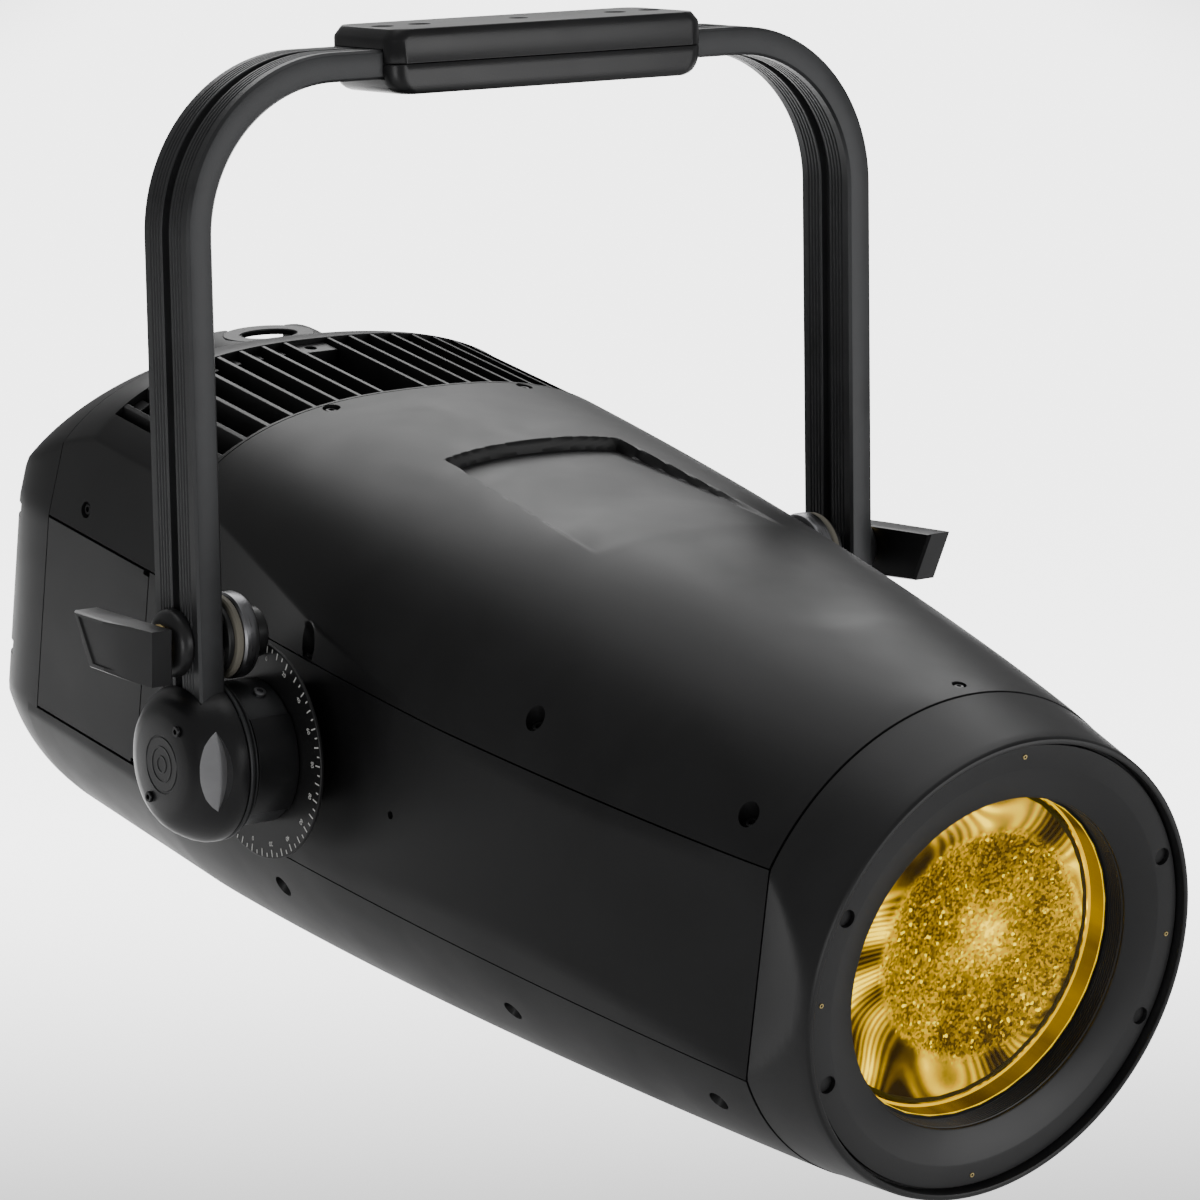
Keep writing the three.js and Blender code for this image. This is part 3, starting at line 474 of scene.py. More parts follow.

# Amber tones from dark to bright; the last stop, brighter than white, is painted highlight colour.
AMBER_AND_HIGHLIGHT_STOPS = [(0.0, (0.012, 0.006, 0.0)), (0.28, (0.07, 0.045, 0.0)), (0.5, (0.24, 0.165, 0.0)),
              (0.7, (0.52, 0.36, 0.0)), (0.88, (0.85, 0.62, 0.0)), (1.0, (1.5, 1.25, 0.04))]
LENS_UNIT = 0.1


def gold_pattern(name, glow, painted_highlights, fan=1.0, glitter=1.0):
    """Amber reflector seen through the lens: fan lines near the rim, a speckled middle, painted highlights
    and painted glints, all of it also emitted as a painted glow.

    The painted highlights are given as (x, z, spread, strength) in lens radii from the lens axis. fan and
    glitter set the strength of the lines and of the specks.
    """
    material, nodes, links, base = shader(name, Metallic=0.0, Roughness=0.5, Specular_IOR_Level=0.0)

    def math_node(operation, first, second=0.0, clamped=False):
        node = add(nodes, "Math")
        node.operation = operation
        node.use_clamp = clamped
        for socket, value in zip(node.inputs, (first, second)):
            if isinstance(value, (int, float)):
                socket.default_value = value
            else:
                links.new(value, socket)
        return node.outputs["Value"]

    def plus(first, second):
        return math_node("ADD", first, second)

    def minus(first, second, clamped=False):
        return math_node("SUBTRACT", first, second, clamped)

    def times(first, second, clamped=False):
        return math_node("MULTIPLY", first, second, clamped)

    coords = add(nodes, "TexCoord").outputs["Object"]
    place = add(nodes, "Mapping", Location=PIVOT, Rotation=(TILT, 0, 0), Scale=(LENS_UNIT,) * 3)
    place.vector_type = "TEXTURE"
    links.new(coords, place.inputs["Vector"])
    flatten = add(nodes, "VectorMath")
    flatten.operation = "MULTIPLY"
    flatten.inputs[1].default_value = (1, 0, 1)
    links.new(place.outputs["Vector"], flatten.inputs[0])
    flat = flatten.outputs["Vector"]
    parts = add(nodes, "SeparateXYZ")
    links.new(flat, parts.inputs[0])
    u, v = parts.outputs["X"], parts.outputs["Z"]

    def distance_to(x, z):
        du, dv = minus(u, x), minus(v, z)
        return math_node("SQRT", plus(times(du, du), times(dv, dv)))

    swirl = noise(nodes, links, flat, 1.9, 2.0, 0.8, 0.4)
    smooth = noise(nodes, links, flat, 1.25, 0.0)
    cells = add(nodes, "TexVoronoi", Scale=62.0)
    links.new(flat, cells.inputs["Vector"])
    cell_value = add(nodes, "SeparateColor")
    links.new(cells.outputs["Color"], cell_value.inputs["Color"])
    speck = cell_value.outputs["Red"]
    angle = math_node("ARCTAN2", v, u)

    # The speckled middle with painted glints in it, the fans of lines outside it and a painted highlight line
    # on the convex edge between them.
    inner = distance_to(0.22, -0.05)
    outside = times(minus(inner, 0.68), 14.0, True)
    inside = minus(1.0, outside, True)
    painted_edge_highlight = minus(1.0, times(math_node("ABSOLUTE", minus(inner, 0.70)), 26.0), True)
    wave = math_node("SINE", plus(times(angle, 64.0), times(smooth, 150.0)))
    lines = times(times(wave, outside), 0.18 * fan)
    swell = math_node("SINE", plus(times(angle, 6.0), times(smooth, 22.0)))
    broad = times(times(swell, outside), 0.33 * fan)
    grain = times(times(minus(speck, 0.5), plus(inside, 0.1)), 0.42 * glitter)
    # Painted glints: the brightest cells of the speckle made bright.
    painted_glints = times(times(minus(speck, 0.965), 20.0, True), inside)
    tone = plus(0.40, times(minus(swirl, 0.5), 0.7))
    for layer in (lines, broad, grain, painted_glints, times(painted_edge_highlight, 0.14 * fan)):
        tone = plus(tone, layer)
    # Painted highlights: soft bright pools added to the tone.
    for x, z, spread, strength in painted_highlights:
        falloff = minus(1.0, math_node("DIVIDE", distance_to(x, z), spread), True)
        tone = plus(tone, times(times(falloff, falloff), strength))
    tone = times(tone, 1.0, True)
    color = ramp(nodes, links, tone, AMBER_AND_HIGHLIGHT_STOPS)
    links.new(color, base.inputs["Base Color"])
    # Painted glow: the same colour is emitted, though the reflector is no lamp.
    links.new(color, base.inputs["Emission Color"])
    base.inputs["Emission Strength"].default_value = glow
    bump(nodes, links, base, tone, 0.2, 0.0005)
    return material


# Painted highlights on the amber reflector, which also gets a painted glow.
PAINTED_HIGHLIGHTS = [(0.30, 0.0, 0.42, 0.75), (-0.57, 0.27, 0.34, 0.95), (-0.20, 0.74, 0.36, 0.7),
             (-0.72, -0.26, 0.34, 0.7), (-0.55, -0.70, 0.3, 0.4), (0.12, 0.85, 0.25, 0.4)]
GOLD = gold_pattern("amber_reflector_painted_light", 1.25, PAINTED_HIGHLIGHTS)
# The band round the cup: fainter amber with one painted highlight and a painted glow.
GOLD_BAND = gold_pattern("amber_band_painted_light", 0.9, [(-0.9, 0.0, 0.8, 0.2)], 0.0, 0.35)
# Glowing amber for the thin rings at the lens's edges: painted highlight lines and painted glow.
AMBER_EDGE_GLOW = grained("amber_edge_painted_glow", (1.0, 0.70, 0.0), 0.25, 0.0, 500.0, 0.1, 0.1, Emission_Strength=0.9,
                    Emission_Color=(1.0, 0.72, 0.01, 1.0))


def lens_glass():
    material, nodes, links, base = shader("amber_glass", Base_Color=(1.0, 0.86, 0.22, 1.0), Roughness=0.02,
                                          Transmission_Weight=1.0, IOR=1.16)
    coords = add(nodes, "TexCoord").outputs["Object"]
    bump(nodes, links, base, noise(nodes, links, coords, 35.0, 2.0), 0.05, 0.0005)
    return material


AMBER_GLASS = lens_glass()

# ---- casing


def cover_rows(forwards, low, high, count, part):
    """Rows of points over the casing between two seam lines.

    part is "roof" or "belly" for a skin that crosses the middle, or -1 or 1 for one flank.
    """
    rows = []
    for forward in forwards:
        half = [(x, z) for x, z in spaced(between(outline(forward), low(forward), high(forward)), count)]
        if part == "roof":
            points = [(-x, z) for x, z in half[::-1]] + half[1:]
        elif part == "belly":
            points = [(-x, z) for x, z in half] + half[::-1][1:]
        else:
            points = [(part * x, z) for x, z in half]
        rows.append([(x, -forward, z) for x, z in points])
    return rows


RECESS_BACK, RECESS_FRONT, RECESS_DEEP = -30.0, 150.0, 8.5
RECESS_HALF_BACK, RECESS_HALF_FRONT = 69.0, 76.0


def recess_depth(forward, x):
    """Shallow blank recess in the roof, deepest at its back edge."""
    length = RECESS_FRONT - RECESS_BACK
    half_width = mix(RECESS_HALF_BACK, RECESS_HALF_FRONT, clamp((forward - RECESS_BACK) / length))
    across = ease((half_width - abs(x)) / 3.0)
    back_edge = RECESS_BACK + 5 * (x / 68) ** 2
    depth = RECESS_DEEP * clamp((RECESS_FRONT - forward) / length) ** 0.9
    return depth * across * ease((forward - back_edge) / 4.0)


def far(height):
    return lambda forward: height


def shifted(line, amount):
    return lambda forward: line(forward) + amount


def stations(front, back, step):
    count = max(2, int(abs(front - back) / step))
    return [mix(front, back, i / count) for i in range(count + 1)]


SCOOP_RADIUS = 6.9
FAR = 400
screws = []


def screw(centre, direction, radius=4.3, height=3.2, group=screws):
    """A screw with a chamfered head and a round socket."""
    profile = [(0, height - 2), (radius * 0.5, height - 2), (radius * 0.5, height), (radius * 0.88, height),
               (radius, height - 0.5), (radius, -0.5), (0, -0.5)]
    turn = turn_to(Vector(direction).normalized())
    head = lathe("z", profile, sides=20, closed=False)
    group.append(moved(head, Matrix.Translation(Vector(centre)) @ turn))


def scoop(forward, height, side, up):
    """Cutter for one almond-shaped screw pocket in a flank, with its screw put at the bottom."""
    surface = Vector((side * side_x(forward, height), -forward, height))
    way = Vector((side * 0.47, 0, up * 0.883))
    floor = surface - Vector((side * 4.8, 0, up * 5.6))
    screw(floor, way, 4.2, 2.0)
    return moved(rod("z", SCOOP_RADIUS, 0, 45, sides=40), Matrix.Translation(floor) @ turn_to(way))


def cover(node, rows, cutters, depth=SKIN, bevel=0.9, segments=2):
    """A cover of the casing: its skin, thickness, holes and look."""
    skin = solid(f"{node}_skin", grid(rows))
    thicken(skin, depth)
    cut(skin, *cutters)
    put(skin, COVER, "head", [node], bevel=bevel, segments=segments, sharp=50)


def roof_pocket(forward, x, radius=6.0, depth=4.0):
    z = roof_z(forward, x)
    screw((x, -forward, z - depth), (0, 0, 1), radius * 0.68, 2.6)
    return rod("z", radius, z - depth, z + 20, (x, -forward, 0), 36)


TOP_POCKETS = ((11, 69), (222, 90), (395, 87))
BELLY_POCKETS = ((-15, -104), (209, -106), (388, -96))
ROOF_POCKETS = ((-144, -78, 6.0, 4.0), (-144, 78, 6.0, 4.0), (412, 0, 4.5, 3.5))

top_stations = stations(RING_SEAM - 0.4, -20, 4.0) + stations(-20.6, -34, 0.9)
top_stations += stations(-36, VENT_FRONT, 4.0)
top_rows = cover_rows(top_stations, shifted(upper_seam, SEAM_HALF), far(FAR), 150, "roof")
top_rows = [[(x, y, z - recess_depth(-y, x)) for x, y, z in row] for row in top_rows]
top_cutters = [scoop(forward, height, side, 1) for side in (-1, 1) for forward, height in TOP_POCKETS]
cover("top_cover", top_rows, top_cutters + [roof_pocket(*pocket) for pocket in ROOF_POCKETS])

belly_rows = cover_rows(stations(RING_SEAM - 0.4, TAIL_SEAM - 12, 6.0), far(-FAR),
                        shifted(lower_seam, -SEAM_HALF), 110, "belly")
belly_cutters = [scoop(forward, height, side, -1) for side in (-1, 1) for forward, height in BELLY_POCKETS]
cover("bottom_cover", belly_rows, belly_cutters)

SHAFT_HOLE, PIN_HOLE = 40.5, 2.6
REAR_PANEL_GAP, NOTCH_HALF = 1.2, 4.0
for word, side in SIDES:
    rows = cover_rows(stations(RING_SEAM - 0.4, SIDE_SEAM + 0.5, 6.0), shifted(lower_seam, SEAM_HALF),
                      shifted(upper_seam, -SEAM_HALF), 24, side)
    holes = [rod("x", SHAFT_HOLE, side * 120, side * 260, sides=64),
             rod("x", PIN_HOLE, side * 150, side * 260, (0, -112, -8), 24)]
    cover(f"side_panel_{word}", rows, holes, SKIN - 1)
    rows = cover_rows(stations(SIDE_SEAM - 0.5, TAIL_SEAM + 0.3, 6.0), shifted(lower_seam, REAR_PANEL_GAP),
                      shifted(upper_seam, -REAR_PANEL_GAP), 24, side)
    notches = [side_box(side, 150, 260, (-SIDE_SEAM - 2, z - NOTCH_HALF), (-SIDE_SEAM + 7, z + NOTCH_HALF))
               for z in (upper_seam(SIDE_SEAM), lower_seam(SIDE_SEAM))]
    cover(f"rear_side_panel_{word}", rows, notches, SKIN - 1, bevel=5.0, segments=1)

# Rear roof with its vent opening.
VENT_HALF = 163.0
REAR_POCKET_BACK, REAR_POCKET_HEIGHT, REAR_POCKET_DEEP = 268.0, 73.0, 3.2
rear_rows = cover_rows(stations(VENT_FRONT - 0.9, TAIL_SEAM + 0.3, 3.0), shifted(upper_seam, SEAM_HALF),
                       far(FAR), 150, "roof")

vent_opening = box((-VENT_HALF, -VENT_FRONT + 3, 90), (VENT_HALF, -VENT_BACK, 260))
rear_pockets = []
for side in (-1, 1):
    bottom = side * (side_x(-REAR_POCKET_BACK, REAR_POCKET_HEIGHT) - REAR_POCKET_DEEP)
    at = (0, REAR_POCKET_BACK, REAR_POCKET_HEIGHT)
    rear_pockets.append(rod("x", 5.6, bottom, side * 260, at, 36))
    screw((bottom, *at[1:]), (side, 0, 0.1), 3.8, 2.0)
cover("rear_top_cover", rear_rows, [vent_opening, *rear_pockets], bevel=0.8)


def roof_beam(x0, x1, front, back, drop, depth, steps=8):
    """A bar whose top follows the roof, drop below it."""
    rings = []
    for i in range(steps + 1):
        forward = mix(front, back, i / steps)
        z0, z1 = [roof_z(forward, x) - drop for x in (x0, x1)]
        rings.append([(x0, -forward, z0 - depth), (x1, -forward, z1 - depth), (x1, -forward, z1),
                      (x0, -forward, z0)])
    return loft(rings)


BAR_PITCH, BAR_FIRST, BAR_NUMBERS, BOSS_BAR = 17.75, 4.4, range(-9, 9), -1
bars, tabs = [], []
for k in BAR_NUMBERS:
    x = BAR_FIRST + BAR_PITCH * k
    if k != BOSS_BAR:
        bars.append(roof_beam(x - 1.5, x + 1.5, VENT_FRONT - 3.2, VENT_BACK + 0.2, 0.4, 17))
    if k not in (BOSS_BAR, BOSS_BAR - 1):
        tabs.append(roof_beam(x + 2, x + BAR_PITCH - 5, VENT_BACK + 11, VENT_BACK + 0.3, 5.5, 3, 2))
front_rim = [roof_beam(x, x + 9, VENT_FRONT - 3.1, VENT_FRONT - 5.2, 0.9, 6, 1) for x in range(-162, 161, 9)]
piece("vent_grille_bars", joined(*bars, *tabs, *front_rim), PLASTIC, replaces=["vent_grille"], bevel=0.5,
      sharp=40)
boss_x = BAR_FIRST + BAR_PITCH * BOSS_BAR
boss = solid("vent_boss", roof_beam(boss_x - 13, boss_x + 14, VENT_BACK + 18, VENT_BACK + 0.3, 3.5, 14, 3))
cut(boss, rod("z", 4.2, 120, 200, (boss_x - 2, -VENT_BACK - 9, 0), 28))
put(boss, PLASTIC, bevel=0.8, sharp=40)
# A near-black sheet under the vent bars: painted shade in the vent.
piece("vent_painted_shade", box((-150, -VENT_FRONT + 8, 96), (150, -VENT_BACK - 4, 99)), DARK, bevel=0.8)

# ---- tail


def tail_ring(forward, inset, shrink, count=90):
    right = spaced(outline(forward, inset, shrink), count)
    left = [(-x, z) for x, z in right[::-1]][1:-1]
    return [(x, -forward, z) for x, z in [*map(tuple, right), *left]]


def tail_shrink(forward):
    share = clamp((TAIL_SEAM - 0.3 - forward) / (TAIL_SEAM - 0.3 - TAIL))
    return 1 - 0.06 * share ** 3


EDGE_STEPS = [(-362.0, 0.0), (-366.0, 0.8), (-368.6, 2.0), (-370.3, 3.8), (-371.0, 6.5)]
tail_outer = [tail_ring(f, 0, tail_shrink(f)) for f in stations(TAIL_SEAM - 0.4, -358, 4.0)]
tail_outer += [tail_ring(f, extra, tail_shrink(f)) for f, extra in EDGE_STEPS]
tail_inner = [tail_ring(f + 3, 5, tail_shrink(f)) for f in (TAIL_SEAM, -330, -345, -358, -369)]
tail_inner[0] = tail_ring(TAIL_SEAM + 6, 5, 1)
tail = solid("tail_cover_shell", loft(tail_outer))
EYE_AT, EYE_HEIGHT, EYE_THICK = 342.0, 154.5, 4.5
FAN_HEIGHT = -28.0
CUT_FRONT, CUT_BACK = 320, 400


def window(x0, x1, z0, z1):
    """A cutter through the tail's back wall."""
    return box((x0, CUT_FRONT, z0), (x1, CUT_BACK, z1))


def oval(half_width, half_depth, z, steps=48):
    turns = [i / steps * tau for i in range(steps)]
    return [(half_width * cos(turn), EYE_AT + half_depth * sin(turn), z) for turn in turns]


display_hole = window(-62, 62, 30, 90)
inlet_hole, data_hole = window(-60, -24, -125, -97), window(10, 70, -128, -94)
fan_hole = rod("y", 46, CUT_FRONT, CUT_BACK, (0, 0, FAN_HEIGHT), 72)
eye_slot = box((-29, EYE_AT - 8, 110), (29, EYE_AT + 8, 200))
eye_pocket = loft([oval(38, 22, EYE_HEIGHT - 0.3, 24), oval(38, 22, 220, 24)])
side_notches = [side_box(side, 164, 230, (356, z), (375, z + 10)) for side in (-1, 1) for z in (40, -60)]
cut(tail, loft(tail_inner), display_hole, inlet_hole, data_hole, fan_hole, eye_slot, eye_pocket,
    *side_notches)
put(tail, COVER, "head", ["tail_cover"], bevel=0.7, sharp=45)

eye = solid("safety_eye_plate", loft([oval(36, 20, EYE_HEIGHT), oval(36, 20, EYE_HEIGHT + EYE_THICK)]))
cut(eye, loft([oval(22.5, 10, EYE_HEIGHT - 9), oval(22.5, 10, EYE_HEIGHT + 12)]))
put(eye, CAST, "head", ["safety_eye"], bevel=1.2, segments=3, sharp=40)

# The tail's roof swells up on both sides to carry the eye.
FAIRING_NEAR, FAIRING_CREST, FAIRING_REACH, FAIRING_STEPS = 24.5, 30.0, 104.0, 16
FAIRING_EDGE = 3
for word, side in SIDES:
    rings = []
    for i in range(FAIRING_STEPS + 1):
        x = mix(FAIRING_NEAR, FAIRING_REACH, i / FAIRING_STEPS)
        lift = (1 - ease((x - FAIRING_CREST) / (FAIRING_REACH - FAIRING_CREST))) ** 1.15
        half = mix(12, 19, lift)
        under = roof_z(-EYE_AT - half, x) * tail_shrink(-EYE_AT - half) - 4.5
        edge_z = mix(under - 1.5, EYE_HEIGHT + EYE_THICK - 0.3, lift) - FAIRING_EDGE
        back, front = EYE_AT + half, EYE_AT - half
        flat = [(back, under), (back, edge_z)]
        flat += arc(FAIRING_EDGE, 20, 90, 4, (back - FAIRING_EDGE, edge_z))
        flat += arc(FAIRING_EDGE, 90, 160, 4, (front + FAIRING_EDGE, edge_z))
        flat += [(front, edge_z), (front, under)]
        rings.append([(side * x, y, z) for y, z in flat])
    piece(f"eye_fairing_{word}", loft(rings), COVER, bevel=0.5, sharp=50)

# Fan guard: concentric rings on four spokes, inside the tail's round opening.
guard_parts = [lathe("y", [(r, 366), (r + 1.6, 366), (r + 1.6, 368.5), (r, 368.5)], (0, 0, FAN_HEIGHT), 72)
               for r in (12, 20, 28, 36, 44)]
for turn in range(4):
    spoke = box((-1.2, 364, 8), (1.2, 366.5, 45.8))
    spin = Matrix.Translation((0, 0, FAN_HEIGHT)) @ Matrix.Rotation(turn * pi / 2 + pi / 4, 4, "Y")
    guard_parts.append(moved(spoke, spin))
piece("fan_guard", joined(*guard_parts), PLASTIC, bevel=0.35)

# Service panel: screen, socket rims and pins.
PANEL_FACE = 371.5
SOCKET_X, SOCKET_Z, PIN_CIRCLE, PIN_ANGLES = (26, 54), -111, 4.6, (0.5, 2.1, 3.7, 5.3, 1.57)
screen = box((-49.5, PANEL_FACE - 2.2, 40.5), (21.5, PANEL_FACE - 0.7, 81.5))
piece("display_screen", screen, SCREEN, bevel=0.3)
rim_profile = [(8.6, 371), (11.2, 371), (11.2, 375), (10.2, 375.6), (8.6, 375.6)]
socket_rims = [lathe("y", rim_profile, (x, 0, SOCKET_Z), 48) for x in SOCKET_X]
pins = [rod("y", 1.1, 372, 375, (x + PIN_CIRCLE * cos(a), 0, SOCKET_Z + PIN_CIRCLE * sin(a)), 12)
        for x in SOCKET_X for a in PIN_ANGLES]
inlet_frame = [box((-57, 372, -122), (-27, 375.5, -119)), box((-57, 372, -103), (-27, 375.5, -100)),
               box((-57, 372, -119), (-54, 375.5, -103)), box((-30, 372, -119), (-27, 375.5, -103))]
inlet_pins = [box((x - 1, 372, -113), (x + 1, 376, -109)) for x in (-48, -42, -36)]
piece("service_fittings", joined(*socket_rims, *inlet_frame), PLASTIC, bevel=0.4)
piece("service_contacts", joined(*pins, *inlet_pins), STEEL, bevel=0.15)

# ---- front end

NOSE, PLATE_FACE = 481.0, 475.5
RING_SIDES, LENS_SIDES = 240, 160
BORE_RADIUS, SHELF_RADIUS = 141.2, 127.0


def ring_row(radius, forward, flat):
    row = []
    for i in range(RING_SIDES):
        angle = i / RING_SIDES * tau
        x = radius * cos(angle)
        row.append((max(-flat, min(flat, x)), -forward, radius * sin(angle)))
    return row


ring_rows = [ring_row(RING_RADIUS - 2.0, RING_SEAM, RING_FLAT - 1.2)]
RING_STEPS = 8
for i in range(RING_STEPS + 1):
    share = i / RING_STEPS
    ring_rows.append(ring_row(mix(RING_RADIUS - 0.6, 145.7, share), mix(RING_SEAM + 0.9, 478.2, share),
                              mix(RING_FLAT, 146.7, share)))
for radius, forward in ((145.2, 479.8), (144.3, NOSE - 0.3), (143.2, NOSE), (142.2, NOSE),
                        (141.4, NOSE - 0.5), (BORE_RADIUS, 479.5), (BORE_RADIUS, 471.2),
                        (SHELF_RADIUS + 0.2, 471.0), (SHELF_RADIUS, RING_SEAM)):
    ring_rows.append(ring_row(radius, forward, FAR))
piece("front_ring_body", loft(ring_rows + [ring_rows[0]], close=False), RING_BLACK,
      replaces=["front_ring"], sharp=28)

# The plate that holds the lens, with thread rings inside its funnel and four screw holes.
THREAD_FIRST, THREAD_PITCH, THREAD_COUNT = 467.6, 1.7, 8
thread = []
for i in range(THREAD_COUNT):
    y = -(THREAD_FIRST - THREAD_PITCH * i)
    thread += inwards(y, [(104.3, 0), (104.3, 0.5), (103.5, 0.9), (103.5, 1.4)])
plate_profile = inwards(-PLATE_FACE, [(139.4, 0.4), (139.6, 1.2), (139.6, 4), (118, 4)])
plate_profile += [(109, -464), (109, -452), (104.4, -452), *thread[::-1], (104.4, -468.6), (105.4, -469.4)]
plate_profile += inwards(-PLATE_FACE, [(124.4, 0.35), (125.6, 0), (139.0, 0)])
plate = solid("lens_retainer_plate", lathe("y", plate_profile, sides=RING_SIDES))
HOLE_CIRCLE, HOLE_OFFSET, SCREW_CIRCLE = 131.7, 23.15, 133
hole_angles = [base_angle + offset for base_angle in (0, 180) for offset in (-HOLE_OFFSET, HOLE_OFFSET)]
cut(plate, *[rod("y", 5.5, -PLATE_FACE - 5, -PLATE_FACE + 10, around(HOLE_CIRCLE, angle, 0), 40)
             for angle in hole_angles])
put(plate, RING_BLACK, "head", ["lens_retainer"], bevel=0.25, sharp=32)
brass_screws = []
for angle in (0, 90, 180, 270):
    screw(around(SCREW_CIRCLE, angle, -PLATE_FACE + 0.4), (0, -1, 0), 1.6, 0.9, brass_screws)
piece("retainer_screws", joined(*brass_screws), BRASS)
# Near-black discs at the bottom of the screw holes: painted shade.
hole_shade_discs = [rod("y", 5.4, -PLATE_FACE + 3.2, -PLATE_FACE + 4.4, around(HOLE_CIRCLE, angle, 0), 24)
              for angle in hole_angles]
piece("retainer_hole_painted_shade", joined(*hole_shade_discs), DARK)

# Lens: a domed front glass over the amber cup, whose wall and floor show through it.
LENS_R, LENS_FACE, LENS_RISE, DOME_STEPS = 102.6, 453.0, 10.6, 14
CUP_R, CUP_BACK, CUP_DEEP = 100.5, 438.0, 11
dome = inwards(-LENS_FACE, [(0, 0.2), (LENS_R - 0.4, 0.2), (LENS_R - 0.2, -0.6)])
for i in range(DOME_STEPS + 1):
    share = 1 - i / DOME_STEPS
    dome.append(((LENS_R - 1.5) * share, -LENS_FACE - 1.2 - LENS_RISE * (1 - share ** 2)))
piece("front_lens_glass", lathe("y", dome, sides=LENS_SIDES, closed=False), AMBER_GLASS,
      replaces=["front_lens"], sharp=40)
cup = [(0, CUP_DEEP)] + [(r, CUP_DEEP * (1 - (r / CUP_R) ** 2)) for r in np.linspace(8, CUP_R, 16)]
cup_profile = inwards(-CUP_BACK, [*cup, (CUP_R, 3), (0, CUP_DEEP + 3)])
piece("lens_floor", lathe("y", cup_profile, sides=LENS_SIDES, closed=False), GOLD,
      sharp=40)
# A near-black disc behind the cup: painted shade.
piece("lens_floor_shade_disc", rod("y", 101.5, -CUP_BACK + 14.3, -CUP_BACK + 15.5, sides=96), DARK, sharp=40)
band_profile = [(CUP_R + 0.2, -CUP_BACK), (102.0, -LENS_FACE + 0.6), (LENS_R, -LENS_FACE + 0.6),
                (LENS_R, -CUP_BACK)]
piece("lens_band", lathe("y", band_profile, sides=LENS_SIDES), GOLD_BAND, sharp=40)


def bead(radius, forward, size):
    """A ring of round section."""
    return lathe("y", arc(size, 0, 330, 11, (radius, -forward)), sides=LENS_SIDES)


# Thin rings along the lens's edges, in glowing amber: painted highlight lines.
beads = joined(bead(102.0, LENS_FACE - 0.2, 0.8), bead(100.2, CUP_BACK + 0.4, 0.9))
piece("lens_edges", beads, AMBER_EDGE_GLOW, sharp=60)

# ---- crossbar

BAR_HALF, BAR_DEPTH, BAR_CORNER, PARTING, BAR_HEIGHT = 123.0, 37.0, 12.0, 21.7, 41.0
ARM_HALF, ARM_MIDDLE_X, ARM_DROP = 9.2, 260.3, 21.9
BOLT_OFFSETS = (-105, -77, 77, 105)
BOLT_RADIUS, HEAD_RADIUS, CLAMP_RADIUS = 4.5, 7.5, 6.5


def bar_ring(z, in_x, in_y):
    corner = max(2.0, BAR_CORNER - min(in_x, in_y) * 0.5)
    points = []
    for quarter, (sx, sy) in enumerate(((1, 1), (-1, 1), (-1, -1), (1, -1))):
        centre = (sx * (BAR_HALF - in_x - corner), sy * (BAR_DEPTH - in_y - corner))
        points += arc(corner, quarter * 90, quarter * 90 + 90, 8, centre)
    return [(x, y, z) for x, y in points]


channels = [side_box(side, 40, 200, (-26.5, -ARM_DROP - 9.5), (26.5, -ARM_DROP + 9.5)) for side in (-1, 1)]
bolt_bores = [rod("z", BOLT_RADIUS, -60, 20, (x, 0, 0), 28) for x in BOLT_OFFSETS]
counterbores = [rod("z", HEAD_RADIUS, -6, 20, (x, 0, 0), 40) for x in BOLT_OFFSETS]
clamp_bore = rod("z", CLAMP_RADIUS, -60, 20, sides=40)
# Each shell as rings of (height, inset in x, inset in y).
TOP_SHELL = ((-PARTING + 0.25, 0.4, 0.4), (-PARTING + 0.8, 0, 0), (-7, 0, 0), (-5.5, 0.6, 0.1),
             (-0.8, 5.0, 0.4), (0, 5.8, 1.1))
LOW_SHELL = ((-PARTING - 0.25, 0.4, 0.4), (-PARTING - 0.8, 0, 0), (-27, 0, 0), (-31, 0.7, 0),
             (-34.5, 2.2, 0.1), (-37.5, 4.6, 0.3), (-39.6, 7.5, 1.0), (-BAR_HEIGHT, 11, 2.4))
for word, shell, bores in (("top", TOP_SHELL, bolt_bores + counterbores), ("bottom", LOW_SHELL, bolt_bores)):
    bar_shell = solid(f"crossbar_{word}_shell", loft([bar_ring(*ring) for ring in shell]), YOKE["left"])
    cut(bar_shell, *channels, *bores, clamp_bore, place=YOKE["left"])
    put(bar_shell, CAST, "yoke", [f"crossbar_{word}"], bevel=0.5, sharp=38)
yoke_screws = []
for x in BOLT_OFFSETS:
    screw((x, 0, -6), (0, 0, 1), 5.6, 2.4, yoke_screws)
piece("crossbar_bolts", joined(*yoke_screws), BLACK_STEEL, "yoke", YOKE["left"])

# ---- yoke arms

RIB_FIRST, RIB_PITCH, RIB_COUNT, RIB_DEEP = 6.6, 3.3, 4, 0.9
ARM_DEPTH, SLOT_DEEP, SLOT_HALF = 26.2, 5.0, 4.2
BEND, BEND_STEPS, ARM_FOOT, ARM_END = 100.8, 28, 22, 42


def arm_section():
    """The extrusion's section across its thickness and depth: slot, ribs and chamfers on both faces."""
    face = ARM_HALF
    half = [(face - SLOT_DEEP, 0), (face - SLOT_DEEP, SLOT_HALF), (face - 0.5, SLOT_HALF),
            (face, SLOT_HALF + 0.5)]
    for i in range(RIB_COUNT):
        y = RIB_FIRST + RIB_PITCH * i
        half += [(face, y), (face - RIB_DEEP, y + 0.5), (face - RIB_DEEP, y + 1.3), (face, y + 1.8)]
    half += [(face, ARM_DEPTH - 1.9), (face - 1.6, ARM_DEPTH - 0.2), (face - 2.2, ARM_DEPTH)]
    front = [(a, -b) for a, b in half[::-1]][:-1] + half
    return front + [(-a, -b) for a, b in front]


